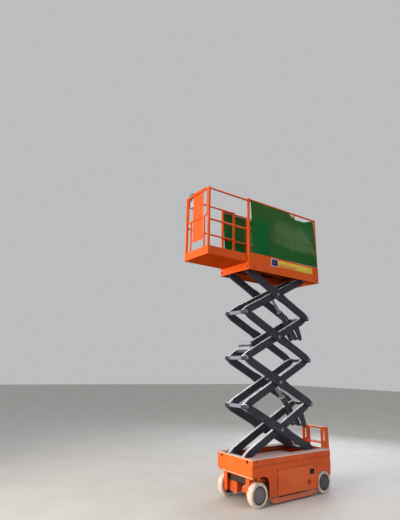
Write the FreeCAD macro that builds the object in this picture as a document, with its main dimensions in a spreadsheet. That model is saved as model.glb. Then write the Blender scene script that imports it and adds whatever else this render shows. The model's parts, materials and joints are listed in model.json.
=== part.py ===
import FreeCAD, Part
import os
import re
import Sketcher

# Narrow electric scissor lift with four arm levels, part raised, its extension deck pushed out.
# Millimetres. +X is the steering end, +Y the machine's left side, +Z up, the floor at Z = 0.
# The origin is on the floor, midway between the ladder's back edge and the extension's front.

# Driving dimensions, each set once: alias, value, what it is.
SIZES = [
    ("chassis_width", 820, "body over the side skins"),
    ("cover_rise", 24, "lowest pivots to the top of the deck covers"),
    ("cover_flange", 90, "height of the covers' folded side"),
    ("sheet_wall", 4, "folded sheet of covers and skins"),
    ("frame_wall", 6, "plate of the inner frame"),
    ("channel_half", 300, "middle plane to the channel walls"),
    ("channel_floor", 385, "top of the scissor channel's deep floor, under the lower cylinder"),
    ("raised_drop", 60, "lowest pivots to the channel's raised floor"),
    ("raised_start", 1252, "lowest pivots back to the raised floor's rear edge"),
    ("nose_bottom", 430, "lower edge of the front plate"),
    ("nose_floor", 428, "top of the floor over the steering"),
    ("nose_bar_top", 413, "top of the bar under the nose"),
    ("nose_bar_height", 24, "height of that bar"),
    ("nose_bar_depth", 24, "depth of that bar"),
    ("nose_bar_setback", 10, "front plate to that bar"),
    ("nose_tab", 46, "width of the tabs that carry the bar"),
    ("front_wall_reach", 251, "front wheels' centres to the tray's front wall"),
    ("rear_wall_reach", 201, "rear wheels' centres to the tray's back wall"),
    ("pan_bottom", 105, "underside of the tray pans"),
    ("skirt_bottom", 112, "lower edge of the side skins"),
    ("arch_front_top", 412, "front wheel arch, highest point"),
    ("arch_front_reach", 194, "front wheels' centres to the front arch's back edge"),
    ("arch_front_round", 100, "radius of the front arch's upper corner"),
    ("arch_rear_reach", 145, "rear wheels' centres to the rear arch's front edge"),
    ("arch_rear_top", 350, "rear wheel arch, highest point"),
    ("arch_rear_slope", 137, "length of the rear arch's slope"),
    ("door_front_reach", 379, "front wheels' centres to the doors' front edge"),
    ("door_rear_reach", 211, "rear wheels' centres to the doors' back edge"),
    ("door_top", 468, "upper edge of the doors"),
    ("door_depth", 25, "folded depth of the doors"),
    ("door_gap", 5, "gap round a door"),
    ("hinge_radius", 7, "door hinge barrels"),
    ("hinge_length", 60, "length of a door hinge"),
    ("hinge_inset", 30, "end of a door to its hinge"),
    ("hinge_gap", 0.3, "gap between the barrels of a hinge"),
    ("hand_slot_setback", 987, "front plate to the middle of the covers' hand slots"),
    ("hand_slot_reach", 37, "middle of a hand slot to the centre of its round end"),
    ("hand_slot_radius", 18, "half width of a hand slot"),
    ("hand_slot_offset", 38, "middle of a cover inwards to its hand slot"),
    ("cover_notch_start", 132, "lowest pivots back to the notch in a cover's inner edge"),
    ("cover_notch", 70, "length of that notch"),
    ("cover_notch_depth", 16, "depth of that notch"),
    ("access_setback", 90, "front plate to the access hole in a cover's side"),
    ("access_drop", 34, "cover's top to the middle of that hole"),
    ("access_radius", 15, "radius of that hole"),
    ("tie_radius", 19, "tie-down holes"),
    ("tie_half", 297, "middle plane to a tie-down hole"),
    ("tie_height", 612, "floor to the tie-down holes"),
    ("wheel_radius", 169, "tyre radius"),
    ("tyre_width", 100, "tyre width"),
    ("tyre_round", 16, "shoulder radius of a tyre"),
    ("rim_radius", 124, "radius of a wheel's rim"),
    ("wheel_face", 397, "middle plane to the wheels' outer face"),
    ("wheel_clear", 5, "front tyre's inner face to the knuckle"),
    ("hub_bore", 20, "radius of a wheel's bore"),
    ("rim_lip", 12, "thickness of a wheel's rim"),
    ("rim_groove", 6, "groove between a wheel's rim and its disc"),
    ("disc_inset", 4, "tyre's face to the wheel's disc"),
    ("disc_wall", 12, "thickness of the wheel's disc"),
    ("axle_clearance", 0.1, "radial gap of shafts in bores"),
    ("front_axle_setback", 151, "front plate to the front wheels' centres"),
    ("wheelbase", 1455, "front to rear wheels"),
    ("rear_overhang", 172, "rear wheels' centres to the back plate"),
    ("kingpin_half", 245, "middle plane to a kingpin"),
    ("kingpin_radius", 18, "kingpins"),
    ("kingpin_boss", 30, "radius of the kingpin bearings"),
    ("beam_bottom", 270, "underside of the front axle beam"),
    ("beam_height", 90, "depth of the front axle beam"),
    ("beam_half_depth", 45, "half the beam's size along the machine"),
    ("knuckle_plate", 12, "plate of the knuckles"),
    ("running_gap", 2, "gap between faces that turn on each other"),
    ("knuckle_half", 60, "half width of a knuckle's upright"),
    ("knuckle_front", 100, "kingpin to the knuckle's front plate"),
    ("knuckle_inset", 28, "kingpin to that plate's inner edge"),
    ("knuckle_low", 97, "floor to the knuckle's lowest point"),
    ("bar_back", 211, "kingpin to the back end of the knuckle's long bar"),
    ("bar_front", 89, "kingpin to that bar's front end"),
    ("bar_low", 285, "floor to that bar"),
    ("bar_height", 68, "height of that bar"),
    ("motor_half", 45, "half the drive motor's size along the machine"),
    ("motor_height", 145, "right drive motor, height"),
    ("motor_length", 173, "right drive motor, across"),
    ("motor_inset", 58, "middle plane to a drive motor's inner end"),
    ("drum_small", 57, "left drive motor, radius of its inner end"),
    ("drum_large", 66, "left drive motor, radius of its outer end"),
    ("drum_straight", 70, "left drive motor, length of its inner end"),
    ("steer_arm", 110, "kingpin to tie rod pin"),
    ("tie_pin", 8, "tie rod pins"),
    ("rear_flange", 58, "radius of the rear axle's end flanges"),
    ("tie_rod_radius", 11, "tie rod"),
    ("guard_top", 97, "hinge line of the pothole guards"),
    ("guard_bottom", 24, "lower edge of the pothole guards"),
    ("guard_wall", 6, "pothole guard plate"),
    ("guard_barrel", 5, "radius of the guards' hinge barrels"),
    ("guard_lug", 40, "length of one of those barrels"),
    ("guard_front_reach", 205, "front wheels' centres to a guard's front end"),
    ("guard_rear_reach", 181, "rear wheels' centres to a guard's back end"),
    ("guard_nose", 96, "length of the guard's front slope"),
    ("guard_nose_rise", 56, "height of the guard's front slope"),
    ("guard_slope", 155, "length of the guard's sloped end"),
    ("guard_rise", 31, "height of the guard's sloped end"),
    ("guard_half", 392, "middle plane to a guard's outer face"),
    ("pivot_setback", 50, "front plate to the front pivots"),
    ("pivot_height", 634, "floor to the lowest pivots"),
    ("arm_length", 1675, "between the end pivots of an arm"),
    ("rest_angle", 26.26, "slope of the arms as built"),
    ("arm_depth", 120, "depth of an arm"),
    ("arm_wall", 50, "thickness of an arm"),
    ("arm_end", 38, "radius of an arm's end round its pivot"),
    ("arm_taper", 110, "length of the tapered arm end"),
    ("plate_half", 230, "half length of the wide plate at a centre pivot"),
    ("plate_rise", 14, "how far that plate stands over the outer arm's edge"),
    ("inner_half", 145, "middle plane to an inner arm's inside"),
    ("arm_gap", 10, "gap between inner and outer arms"),
    ("pin_radius", 19, "scissor pins"),
    ("pin_clearance", 0.05, "radial gap of a scissor pin in its bore"),
    ("pin_head", 26, "radius of a pin's head"),
    ("head_thickness", 6, "pin head"),
    ("tube_radius", 30, "cross tubes between the arms"),
    ("roller_radius", 15, "rollers at the arms' sliding ends"),
    ("roller_width", 24, "length of a roller"),
    ("roller_pin", 12, "radius of the lowest rollers' pins"),
    ("track_wall", 6, "wall of the roller tracks"),
    ("track_gap", 0.4, "gap between a roller and its track"),
    ("track_length", 720, "roller tracks"),
    ("bracket_station", 619, "arm centre to the cylinder's lower bracket"),
    ("bracket_drop", 275, "how far the bracket's pin hangs below the arm"),
    ("bracket_width", 90, "width of a bracket cheek"),
    ("bracket_wall", 14, "thickness of a bracket cheek"),
    ("eye_station", 45, "arm centre to the cylinder rod's eye"),
    ("eye_radius", 34, "outer radius of the cylinder's eyes"),
    ("eye_half", 25, "half width of the cylinder's eyes"),
    ("ear_gap", 8, "gap between an eye and its ears"),
    ("ear_wall", 12, "thickness of an ear"),
    ("eye_neck", 20, "radius of the neck between a barrel and its eye"),
    ("barrel_start", 42, "lower pin to the barrel's closed end"),
    ("cylinder_pin", 15, "lift cylinder pins"),
    ("barrel_radius", 45, "lift cylinder barrel"),
    ("rod_radius", 28, "lift cylinder rod"),
    ("barrel_length", 600, "lower pin to the barrel's mouth"),
    ("rod_length", 640, "rod, eye centre to inner end"),
    ("rod_clearance", 0.4, "radial gap of the rod in the barrel"),
    ("gland_length", 34, "collar at the barrel's mouth"),
    ("deck_setback", 2, "front plate to the main deck's front"),
    ("deck_length", 1768, "main deck"),
    ("deck_width", 756, "main deck over its side panels"),
    ("deck_wall", 4, "folded sheet of the deck"),
    ("floor_height", 70, "top pivots to the main deck's floor"),
    ("skirt_drop", 58, "top pivots to the lower edge of the side panels"),
    ("panel_height", 296, "side panels of the main deck"),
    ("rail_tube", 34, "rail tubes"),
    ("post_size", 34, "corner posts, square"),
    ("rear_post_inset", 5, "main deck's rear edge to the rear posts"),
    ("rail_height", 1146, "main deck's floor to the top of the rails"),
    ("mid_height", 590, "main deck's floor to the middle rails"),
    ("extension_reach", 816, "extension beyond the front plate"),
    ("extension_tail", 270, "extension floor that stays over the main deck"),
    ("extension_clear", 5, "extension to the main deck's posts"),
    ("tail_inset", 3, "extension's back edge to its rear posts"),
    ("extension_wall", 4, "folded sheet of the extension"),
    ("toe_height", 138, "toe boards of the extension"),
    ("slide_gap", 2, "main floor to extension floor"),
    ("slide_pad_half", 260, "middle plane to the extension's slide pads"),
    ("slide_pad_width", 50, "width of a slide pad"),
    ("slide_pad_length", 240, "length of a slide pad"),
    ("panel_half", 143, "half width of the extension's front plate"),
    ("panel_wall", 5, "thickness of that plate"),
    ("loop_half", 275, "half width of the front hoop, to the middle of its tube"),
    ("loop_rise", 12, "rail top to the middle of the hoop's upper tube"),
    ("loop_drop", 479, "rail top to the middle of the hoop's lower tube"),
    ("loop_tube", 25, "tube of the front hoop"),
    ("loop_bend", 62, "bend radius of the front hoop"),
    ("loop_setback", 18, "extension's front to the middle of the hoop"),
    ("front_bar_half", 190, "middle plane to the upright bars of the extension's front"),
    ("front_bar_radius", 15, "radius of those bars"),
    ("window_height", 150, "opening under the front plate"),
    ("gate_half", 300, "half width of the entry gate"),
    ("gate_clear", 12, "gate to the deck floor"),
    ("gate_lug", 30, "height of a gate hinge's lug"),
    ("gate_low", 200, "middle rail down to the gate's lower lug"),
    ("gate_high", 150, "rail top down to the gate's upper lug"),
    ("ladder_reach", 242, "back plate to the ladder's back edge"),
    ("ladder_front", 34, "back plate to the ladder's front edge"),
    ("ladder_half", 209, "middle plane to a ladder side"),
    ("ladder_wall", 8, "ladder side plate"),
    ("ladder_top", 978, "floor to the ladder's top"),
    ("ladder_bottom", 150, "floor to the ladder's lower end"),
    ("rung_pitch", 250, "between rungs"),
    ("rung_height", 25, "rung, height"),
    ("rung_depth", 110, "rung, depth"),
    ("slot_low", 750, "lower end of the hand slot"),
    ("slot_high", 910, "upper end of the hand slot"),
    ("slot_width", 36, "width of the hand slot"),
    ("battery_end", 150, "tray walls to a battery block's ends"),
    ("battery_depth", 260, "battery block, across"),
    ("battery_height", 250, "battery block, height"),
    ("button_radius", 20, "emergency stop button"),
    ("button_inset", 168, "doors' back edge to the stop button"),
    ("button_height", 222, "floor to the stop button"),
    ("cup_radius", 48, "inside radius of the cup round the stop button"),
    ("cup_depth", 22, "depth of that cup"),
    ("latch_inset", 93, "doors' back edge to the middle of the latch pocket"),
    ("latch_length", 110, "latch pocket, along the machine"),
    ("latch_height", 76, "latch pocket, height"),
    ("latch_level", 370, "floor to the middle of the latch pocket"),
    ("latch_depth", 18, "depth of the latch pocket"),
    ("net_wall", 4, "thickness of a folded net"),
    ("net_drop", 28, "rail top down to a net's upper edge"),
    ("net_front_low", 97, "deck's front to a net's lower front corner"),
    ("net_front_high", 48, "deck's front to a net's upper front corner"),
    ("net_rear_low", 18, "deck's rear to a net's lower rear corner"),
    ("net_rear_middle", 38, "deck's rear to the bend in a net's rear edge"),
    ("net_rear_high", 90, "deck's rear to a net's upper rear corner"),
    ("net_rear_bend", 142, "middle rail up to that bend"),
    ("seat_gap", 0.3, "gap between pieces that seat on each other"),
    ("box_depth", 95, "platform control box, along the machine"),
    ("box_inner", 95, "middle plane to the control box"),
    ("box_outer", 290, "middle plane to the control box's far side"),
    ("box_height", 168, "platform control box, height of its lower body"),
    ("box_drop", 24, "rail top down to the top of that body"),
    ("console_height", 115, "control box, height of its console"),
    ("console_slope", 40, "control box, slope of its console"),
    ("hook_inner", 170, "middle plane to the control box's hook"),
    ("hook_outer", 250, "middle plane to the hook's far side"),
    ("hook_wall", 5, "plate of that hook"),
    ("hook_drop", 24, "top of the hoop down to the hook's lower edge"),
]

# Places worked out from the sizes above.
PLACES = {
    "chassis_length": "front_axle_setback + wheelbase + rear_overhang",
    "front": "(chassis_length + ladder_reach - extension_reach) / 2",
    "rear": "front - chassis_length",
    "skin_half": "chassis_width / 2",
    "wall_half": "skin_half - sheet_wall",
    "cover_top": "pivot_height + cover_rise",
    "raised_floor": "pivot_height - raised_drop",
    "raised_rear": "pivot_x - raised_start",
    "axle_x": "front - front_axle_setback",
    "rear_axle_x": "axle_x - wheelbase",
    "front_wall": "axle_x - front_wall_reach",
    "rear_wall": "rear_axle_x + rear_wall_reach",
    "arch_back": "axle_x - arch_front_reach",
    "arch_lead": "rear_axle_x + arch_rear_reach",
    "door_head": "axle_x - door_front_reach",
    "door_tail": "rear_axle_x + door_rear_reach",
    "guard_head": "axle_x - guard_front_reach",
    "guard_tail": "rear_axle_x + guard_rear_reach",
    "wheel_inner": "wheel_face - tyre_width",
    "beam_top": "beam_bottom + beam_height",
    "web_half": "wheel_inner - wheel_clear",
    "stub_end": "wheel_face - disc_inset - disc_wall - running_gap",
    "knuckle_top": "beam_top + running_gap + knuckle_plate",
    "hand_slot_x": "front - hand_slot_setback",
    "pivot_x": "front - pivot_setback",
    "pitch": "arm_length * sin(rest_angle)",
    "reach": "arm_length * cos(rest_angle)",
    "inner_out": "inner_half + arm_wall",
    "outer_in": "inner_out + arm_gap",
    "outer_out": "outer_in + arm_wall",
    "head_in": "outer_out + running_gap",
    "head_out": "head_in + head_thickness",
    "roller_in": "head_in + 5",
    "roller_out": "roller_in + roller_width",
    "track_back": "roller_out + running_gap",
    "deck_z": "pivot_height + 4 * pitch",
    "floor_z": "deck_z + floor_height",
    "skirt_z": "deck_z - skirt_drop",
    "panel_z": "skirt_z + panel_height",
    "rail_z": "floor_z + rail_height",
    "mid_z": "floor_z + mid_height",
    "deck_front": "front - deck_setback",
    "deck_rear": "deck_front - deck_length",
    "deck_half": "deck_width / 2",
    "ext_front": "front + extension_reach",
    "ext_floor": "floor_z + slide_gap",
    "ext_top": "ext_floor + toe_height",
    "rail_half": "deck_half - deck_wall - seat_gap - post_size / 2",
    "extension_half": "rail_half - post_size / 2 - extension_clear",
    "ext_rail": "extension_half - extension_wall - seat_gap - rail_tube / 2",
    "ext_tail": "deck_front - extension_tail",
    "tail_post_x": "ext_tail + tail_inset + rail_tube / 2",
    "loop_x": "ext_front - loop_setback",
    "loop_top": "rail_z + loop_rise",
    "loop_low": "rail_z - loop_drop",
    "panel_front": "loop_x - loop_tube / 4",
    "box_front": "ext_post_x - bar_radius - seat_gap",
    "box_top": "rail_z - box_drop",
    "hook_seat": "loop_top + loop_tube / 2 + seat_gap",
    "hook_x": "loop_x + loop_tube / 2 + seat_gap",
    "bar_radius": "rail_tube / 2 - 1",
    "ext_post_x": "ext_front - extension_wall - seat_gap - rail_tube / 2",
    "front_post_x": "deck_front - post_size / 2",
    "rear_post_x": "deck_rear + post_size / 2 + rear_post_inset",
    "floor_low": "floor_z - deck_wall",
    "gate_axis_x": "rear_post_x + post_size / 2 + hinge_radius + 1",
    "gate_axis_y": "-rail_half + post_size / 2 + hinge_radius + 1",
    "hinge_x": "door_head + hinge_radius + 0.5",
    "hinge_y": "skin_half - hinge_radius",
    "low_hinge": "skirt_bottom + hinge_inset",
    "high_hinge": "door_top - hinge_inset - hinge_length / 2",
    "guard_y": "guard_half - guard_wall / 2",
    "guard_middle": "(guard_head + guard_tail) / 2",
    "guard_step": "(guard_head - guard_tail) * 0.36",
    "door_face": "wall_half + 1",
    "button_x": "door_tail + button_inset",
    "latch_x": "door_tail + latch_inset",
    "ladder_x": "rear - ladder_front",
    "ladder_back": "rear - ladder_reach",
    "stroke_x": "(bracket_station - eye_station) * cos(rest_angle) + bracket_drop * sin(rest_angle)",
    "stroke_z": "pitch - (bracket_station - eye_station) * sin(rest_angle)"
                " + bracket_drop * cos(rest_angle)",
    "cylinder_length": "sqrt(stroke_x * stroke_x + stroke_z * stroke_z)",
    "base_x": "pivot_x - reach / 2 - bracket_station * cos(rest_angle)"
              " - bracket_drop * sin(rest_angle)",
    "base_rise": "pitch / 2 + bracket_station * sin(rest_angle) - bracket_drop * cos(rest_angle)",
}

doc = FreeCAD.newDocument("ScissorLift")
sheet = doc.addObject("Spreadsheet::Sheet", "Sizes")
for row, (alias, size, note) in enumerate(SIZES, start=1):
    sheet.set("A%d" % row, note)
    sheet.set("B%d" % row, str(size))
    sheet.setAlias("B%d" % row, alias)
doc.recompute()

ALIASES = {alias for alias, size, note in SIZES}
X_AXIS = FreeCAD.Vector(1, 0, 0)
Y_AXIS = FreeCAD.Vector(0, 1, 0)
Z_AXIS = FreeCAD.Vector(0, 0, 1)
TURNS = {"x": (Y_AXIS, 90), "y": (X_AXIS, -90), "z": (Z_AXIS, 0)}
nodes = []


def full(text):
    """Write a formula of size and place names as an expression on the sheet."""
    def swap(match):
        word = match.group(0)
        if word in PLACES:
            return "(" + full(PLACES[word]) + ")"
        return "Sizes." + word if word in ALIASES else word
    return re.sub(r"[A-Za-z_]\w*", swap, str(text))


def number(text):
    """The present value of a formula."""
    return float(sheet.evalExpression(full(text)))


def bind(item, **formulas):
    """Tie an object's properties to the sheet."""
    for prop, formula in formulas.items():
        item.setExpression(prop, full(formula))


def put(item, x="0", y="0", z="0", axis=None, angle=None):
    """Place an object, with its place and turn tied to the sheet."""
    if axis is not None:
        item.Placement = FreeCAD.Placement(FreeCAD.Vector(), FreeCAD.Rotation(axis, number(angle)))
        item.setExpression(".Placement.Rotation.Angle", full(angle))
    item.setExpression(".Placement.Base.x", full(x))
    item.setExpression(".Placement.Base.y", full(y))
    item.setExpression(".Placement.Base.z", full(z))
    return item


def block(name, x, y, z):
    """A box between two places along each axis."""
    item = doc.addObject("Part::Box", name)
    bind(item, Length="(%s) - (%s)" % (x[1], x[0]), Width="(%s) - (%s)" % (y[1], y[0]),
         Height="(%s) - (%s)" % (z[1], z[0]))
    return put(item, x[0], y[0], z[0])


def shaft(name, along, radius, span, x="0", y="0", z="0"):
    """A round bar along one axis, between two places on that axis."""
    item = doc.addObject("Part::Cylinder", name)
    bind(item, Radius=radius, Height="(%s) - (%s)" % (span[1], span[0]))
    axis, angle = TURNS[along]
    item.Placement = FreeCAD.Placement(FreeCAD.Vector(), FreeCAD.Rotation(axis, angle))
    place = {"x": x, "y": y, "z": z}
    place[along] = span[0]
    return put(item, place["x"], place["y"], place["z"])


def fuse(name, items):
    if len(items) == 1:
        return items[0]
    item = doc.addObject("Part::MultiFuse", name)
    item.Shapes = items
    item.Refine = True
    return item


def cut(name, base, tools):
    item = doc.addObject("Part::Cut", name)
    item.Base = base
    item.Tool = tools[0] if len(tools) == 1 else fuse(name + "Tools", tools)
    item.Refine = True
    return item


def mirrored(name, source):
    """The same shape on the other side of the machine's middle plane."""
    item = doc.addObject("Part::Mirroring", name)
    item.Source = source
    item.Normal = Y_AXIS
    return item


def both_sides(name, item):
    return fuse(name, [item, mirrored(name + "Right", item)])


def part(name):
    return doc.addObject("PartDesign::Body", name)


def sketch(body, name, role, offset="0"):
    """A sketch on one of the body's own planes, moved along that plane's normal."""
    item = body.newObject("Sketcher::SketchObject", name)
    plane = [face for face in body.Origin.OriginFeatures if face.Role == role][0]
    item.AttachmentSupport = (plane, [""])
    item.MapMode = "FlatFace"
    item.setExpression(".AttachmentOffset.Base.z", full(offset))
    return item


def pin_down(item, kind, geometry, point, formula, axis):
    """Hold one coordinate of a sketch point at a formula."""
    place = item.addConstraint(Sketcher.Constraint(kind, -1, 1, geometry, point, number(formula)))
    item.setExpression("Constraints[%d]" % place, full(formula))


def outline(item, points):
    """A closed outline of straight sides through the given points."""
    spots = [FreeCAD.Vector(number(across), number(up), 0) for across, up in points]
    first = item.GeometryCount
    count = len(points)
    for index in range(count):
        item.addGeometry(Part.LineSegment(spots[index], spots[(index + 1) % count]))
    for index in range(count):
        item.addConstraint(Sketcher.Constraint(
            "Coincident", first + index, 2, first + (index + 1) % count, 1))
    for index, (across, up) in enumerate(points):
        pin_down(item, "DistanceX", first + index, 1, across, 0)
        pin_down(item, "DistanceY", first + index, 1, up, 1)


def ring(item, across, up, radius):
    """A circle in a sketch."""
    centre = FreeCAD.Vector(number(across), number(up), 0)
    place = item.addGeometry(Part.Circle(centre, Z_AXIS, number(radius)))
    pin_down(item, "DistanceX", place, 3, across, 0)
    pin_down(item, "DistanceY", place, 3, up, 1)
    held = item.addConstraint(Sketcher.Constraint("Radius", place, number(radius)))
    item.setExpression("Constraints[%d]" % held, full(radius))


def pad(body, name, item, length):
    feature = body.newObject("PartDesign::Pad", name)
    feature.Profile = item
    bind(feature, Length=length)
    return feature


def side_plate(name, points, y, holes=(), windows=()):
    """A plate in the side view, between two places across the machine."""
    body = part(name)
    item = sketch(body, name + "Outline", "XZ_Plane", "-(%s)" % y[1])
    outline(item, points)
    for across, up, radius in holes:
        ring(item, across, up, radius)
    for window in windows:
        outline(item, window)
    pad(body, name + "Pad", item, "(%s) - (%s)" % (y[1], y[0]))
    return body


def section(name, points, x):
    """A section across the machine, drawn out between two places along it."""
    body = part(name)
    item = sketch(body, name + "Section", "YZ_Plane", x[0])
    outline(item, points)
    pad(body, name + "Pad", item, "(%s) - (%s)" % (x[1], x[0]))
    return body


def turned(name, points):
    """A turned piece about its own Y axis: points are radius and place along the axis."""
    body = part(name)
    item = sketch(body, name + "Section", "XY_Plane")
    outline(item, points)
    feature = body.newObject("PartDesign::Revolution", name + "Turn")
    feature.Profile = item
    feature.ReferenceAxis = (item, ["V_Axis"])
    feature.Angle = 360
    return body


def bend(name, ring_radius, tube_radius, quarter, x, y, z):
    """A quarter of a ring of tube across the machine, counted from its lower left corner."""
    item = doc.addObject("Part::Torus", name)
    bind(item, Radius1=ring_radius, Radius2=tube_radius)
    item.Angle3 = 90
    turn = FreeCAD.Rotation(X_AXIS, 90 * quarter).multiply(FreeCAD.Rotation(Y_AXIS, 90))
    item.Placement = FreeCAD.Placement(FreeCAD.Vector(), turn)
    return put(item, x, y, z)


def node(label, item):
    """Name a finished sub-part."""
    item.Label = label
    nodes.append((label, item))
    return item


def guard_spans(low, high):
    """Two stretches along a guard's hinge line, one towards each end."""
    return [("guard_middle + %d * guard_step + %s" % (side, low),
             "guard_middle + %d * guard_step + %s" % (side, high)) for side in (-1, 1)]


def base_frame():
    """Side skins with their wheel arches, the scissor channel, pans, walls and roller tracks."""
    corner = "arch_front_round"
    skin = side_plate("SideSkin", [
        ("front - frame_wall", "cover_top - cover_flange + 20"),
        ("front - frame_wall", "arch_front_top"),
        ("arch_back + " + corner, "arch_front_top"),
        ("arch_back + " + corner + " * 0.29", "arch_front_top - " + corner + " * 0.29"),
        ("arch_back", "arch_front_top - " + corner),
        ("arch_back", "skirt_bottom"),
        ("door_head + door_gap + hinge_radius * 2", "skirt_bottom"),
        ("door_head + door_gap + hinge_radius * 2", "door_top + door_gap"),
        ("door_tail - door_gap", "door_top + door_gap"),
        ("door_tail - door_gap", "skirt_bottom"),
        ("arch_lead + 20", "skirt_bottom"),
        ("arch_lead", "arch_rear_top - 26"),
        ("arch_lead - arch_rear_slope", "arch_rear_top"),
        ("rear + 43", "arch_rear_top - 6"),
        ("rear + frame_wall", "arch_rear_top - 6"),
        ("rear + frame_wall", "cover_top - cover_flange + 20"),
    ], ("wall_half - sheet_wall", "wall_half"))
    deep = [
        ("channel_half + frame_wall", "cover_top - sheet_wall"),
        ("channel_half + frame_wall", "channel_floor - frame_wall"),
        ("-channel_half - frame_wall", "channel_floor - frame_wall"),
        ("-channel_half - frame_wall", "cover_top - sheet_wall"),
        ("-channel_half", "cover_top - sheet_wall"),
        ("-channel_half", "channel_floor"),
        ("channel_half", "channel_floor"),
        ("channel_half", "cover_top - sheet_wall"),
    ]
    raised = [(across, up.replace("channel_floor", "raised_floor")) for across, up in deep]
    deep_channel = section("DeepChannel", deep, ("rear + frame_wall", "raised_rear + frame_wall"))
    raised_channel = section("RaisedChannel", raised, ("raised_rear", "front - frame_wall"))
    step_wall = block("StepWall", ("raised_rear", "raised_rear + frame_wall"),
                      ("-channel_half - frame_wall", "channel_half + frame_wall"),
                      ("channel_floor - frame_wall", "raised_floor"))
    nose = block("NoseFloor", ("front_wall", "front - frame_wall"), ("-wall_half", "wall_half"),
                 ("nose_floor - frame_wall", "nose_floor"))
    bar_x = ("front - nose_bar_setback - nose_bar_depth", "front - nose_bar_setback")
    bar = block("NoseBar", bar_x, ("-guard_half", "guard_half"),
                ("nose_bar_top - nose_bar_height", "nose_bar_top"))
    tabs = [block("NoseTab%d" % index, bar_x,
                  ("%d * guard_half / 3 - nose_tab / 2" % place,
                   "%d * guard_half / 3 + nose_tab / 2" % place),
                  ("nose_bar_top - 1", "nose_floor - frame_wall + 1"))
            for index, place in enumerate((-2, -1, 0, 1, 2))]
    front_wall = block("TrayFrontWall", ("front_wall", "front_wall + frame_wall"),
                       ("-wall_half + sheet_wall", "wall_half - sheet_wall"),
                       ("pan_bottom", "nose_floor"))
    front_side = block("TrayFrontSide", ("front_wall", "arch_back"),
                       ("wall_half - sheet_wall * 2", "wall_half - 1"),
                       ("skirt_bottom", "nose_floor - frame_wall - 60"))
    rear_wall = block("TrayRearWall", ("rear_wall - frame_wall", "rear_wall"),
                      ("-wall_half + sheet_wall", "wall_half - sheet_wall"),
                      ("pan_bottom", "channel_floor"))
    pan = block("TrayPan", ("rear_wall - frame_wall", "front_wall + frame_wall"),
                ("-wall_half + door_depth", "wall_half - door_depth"),
                ("pan_bottom", "pan_bottom + frame_wall"))
    keel = block("Keel", ("raised_rear", "front_wall"), ("-frame_wall", "frame_wall"),
                 ("pan_bottom", "raised_floor - 1"))
    rear_keel = block("RearKeel", ("rear_wall", "raised_rear + 1"), ("-frame_wall", "frame_wall"),
                      ("pan_bottom", "channel_floor - frame_wall + 1"))
    rear_shelf = block("RearShelf", ("rear + frame_wall", "rear_wall"),
                       ("channel_half", "wall_half - sheet_wall"),
                       ("channel_floor - frame_wall", "channel_floor"))
    back = block("BackPlate", ("rear", "rear + frame_wall"), ("-wall_half", "wall_half"),
                 ("arch_rear_top - 6", "cover_top - sheet_wall"))
    track = section("ChassisTrack", [
        ("roller_in + 1", "pivot_height - roller_radius - track_gap"),
        ("roller_in + 1", "pivot_height - roller_radius - track_gap - track_wall"),
        ("channel_half + 1", "pivot_height - roller_radius - track_gap - track_wall"),
        ("channel_half + 1", "pivot_height - roller_radius - track_gap"),
    ], ("rear + frame_wall", "rear + track_length"))
    ear = side_plate("PivotEar", [
        ("pivot_x - 55", "nose_floor - 1"),
        ("pivot_x + 40", "nose_floor - 1"),
        ("pivot_x + 40", "pivot_height"),
        ("pivot_x + 16", "pivot_height + 38"),
        ("pivot_x - 16", "pivot_height + 38"),
        ("pivot_x - 55", "pivot_height"),
    ], ("inner_out + arm_gap + 2", "inner_out + arm_gap + 22"),
        [("pivot_x", "pivot_height", "pin_radius + pin_clearance")])
    arch_tab = side_plate("ArchTab", [
        ("axle_x - 31", "nose_floor - 1"), ("axle_x - 22", "arch_front_top - 52"),
        ("axle_x + 27", "arch_front_top - 52"), ("axle_x + 39", "nose_floor - 1"),
    ], ("wall_half - door_depth", "wall_half - door_depth + frame_wall"))
    hinge_lugs = [
        fuse("HingeLug%d" % index, [
            shaft("LugBarrel%d" % index, "z", "hinge_radius", (low, high), "hinge_x", "hinge_y"),
            block("LugLeaf%d" % index, ("hinge_x", "hinge_x + hinge_radius + 6"),
                  ("wall_half - sheet_wall", "wall_half"), (low, high)),
        ])
        for index, (low, high) in enumerate([
            ("low_hinge", "low_hinge + hinge_length / 2"),
            ("high_hinge", "high_hinge + hinge_length / 2"),
        ])
    ]
    guard_lugs = [
        fuse("GuardLug%d" % index, [
            shaft("GuardLugBarrel%d" % index, "x", "guard_barrel", span, y="guard_y",
                  z="guard_top"),
            block("GuardLugLeaf%d" % index, span, ("wall_half - door_depth - 6", "guard_y"),
                  ("guard_top + guard_barrel - 1", "pan_bottom + 3")),
        ])
        for index, span in enumerate(guard_spans("-guard_lug", "0"))
    ]
    pillar = block("BeamPillar", ("axle_x - beam_half_depth", "axle_x + beam_half_depth"),
                   ("-wheel_inner / 2", "wheel_inner / 2"),
                   ("beam_top", "nose_floor - 1"))
    one_side = fuse("FrameSide", [skin, front_side, rear_shelf, track, ear,
                                  arch_tab] + hinge_lugs + guard_lugs)
    frame = fuse("Frame", [one_side, mirrored("FrameSideRight", one_side), deep_channel,
                           raised_channel, step_wall, nose, bar, front_wall, rear_wall, pan, keel,
                           rear_keel, back, pillar] + tabs)
    return node("base_frame", frame)


def front_plate():
    """The front cover plate with its tie-down holes."""
    body = section("FrontPlate", [
        ("-wall_half", "nose_bottom"), ("wall_half", "nose_bottom"),
        ("wall_half", "cover_top - sheet_wall"), ("-wall_half", "cover_top - sheet_wall"),
    ], ("front - frame_wall", "front"))
    holes = [shaft("TieHole%d" % side, "x", "tie_radius",
                   ("front - frame_wall - 1", "front + 1"),
                   y="%d * tie_half" % side, z="tie_height") for side in (-1, 1)]
    return node("front_plate", cut("FrontPlateBored", body, holes))


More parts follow.
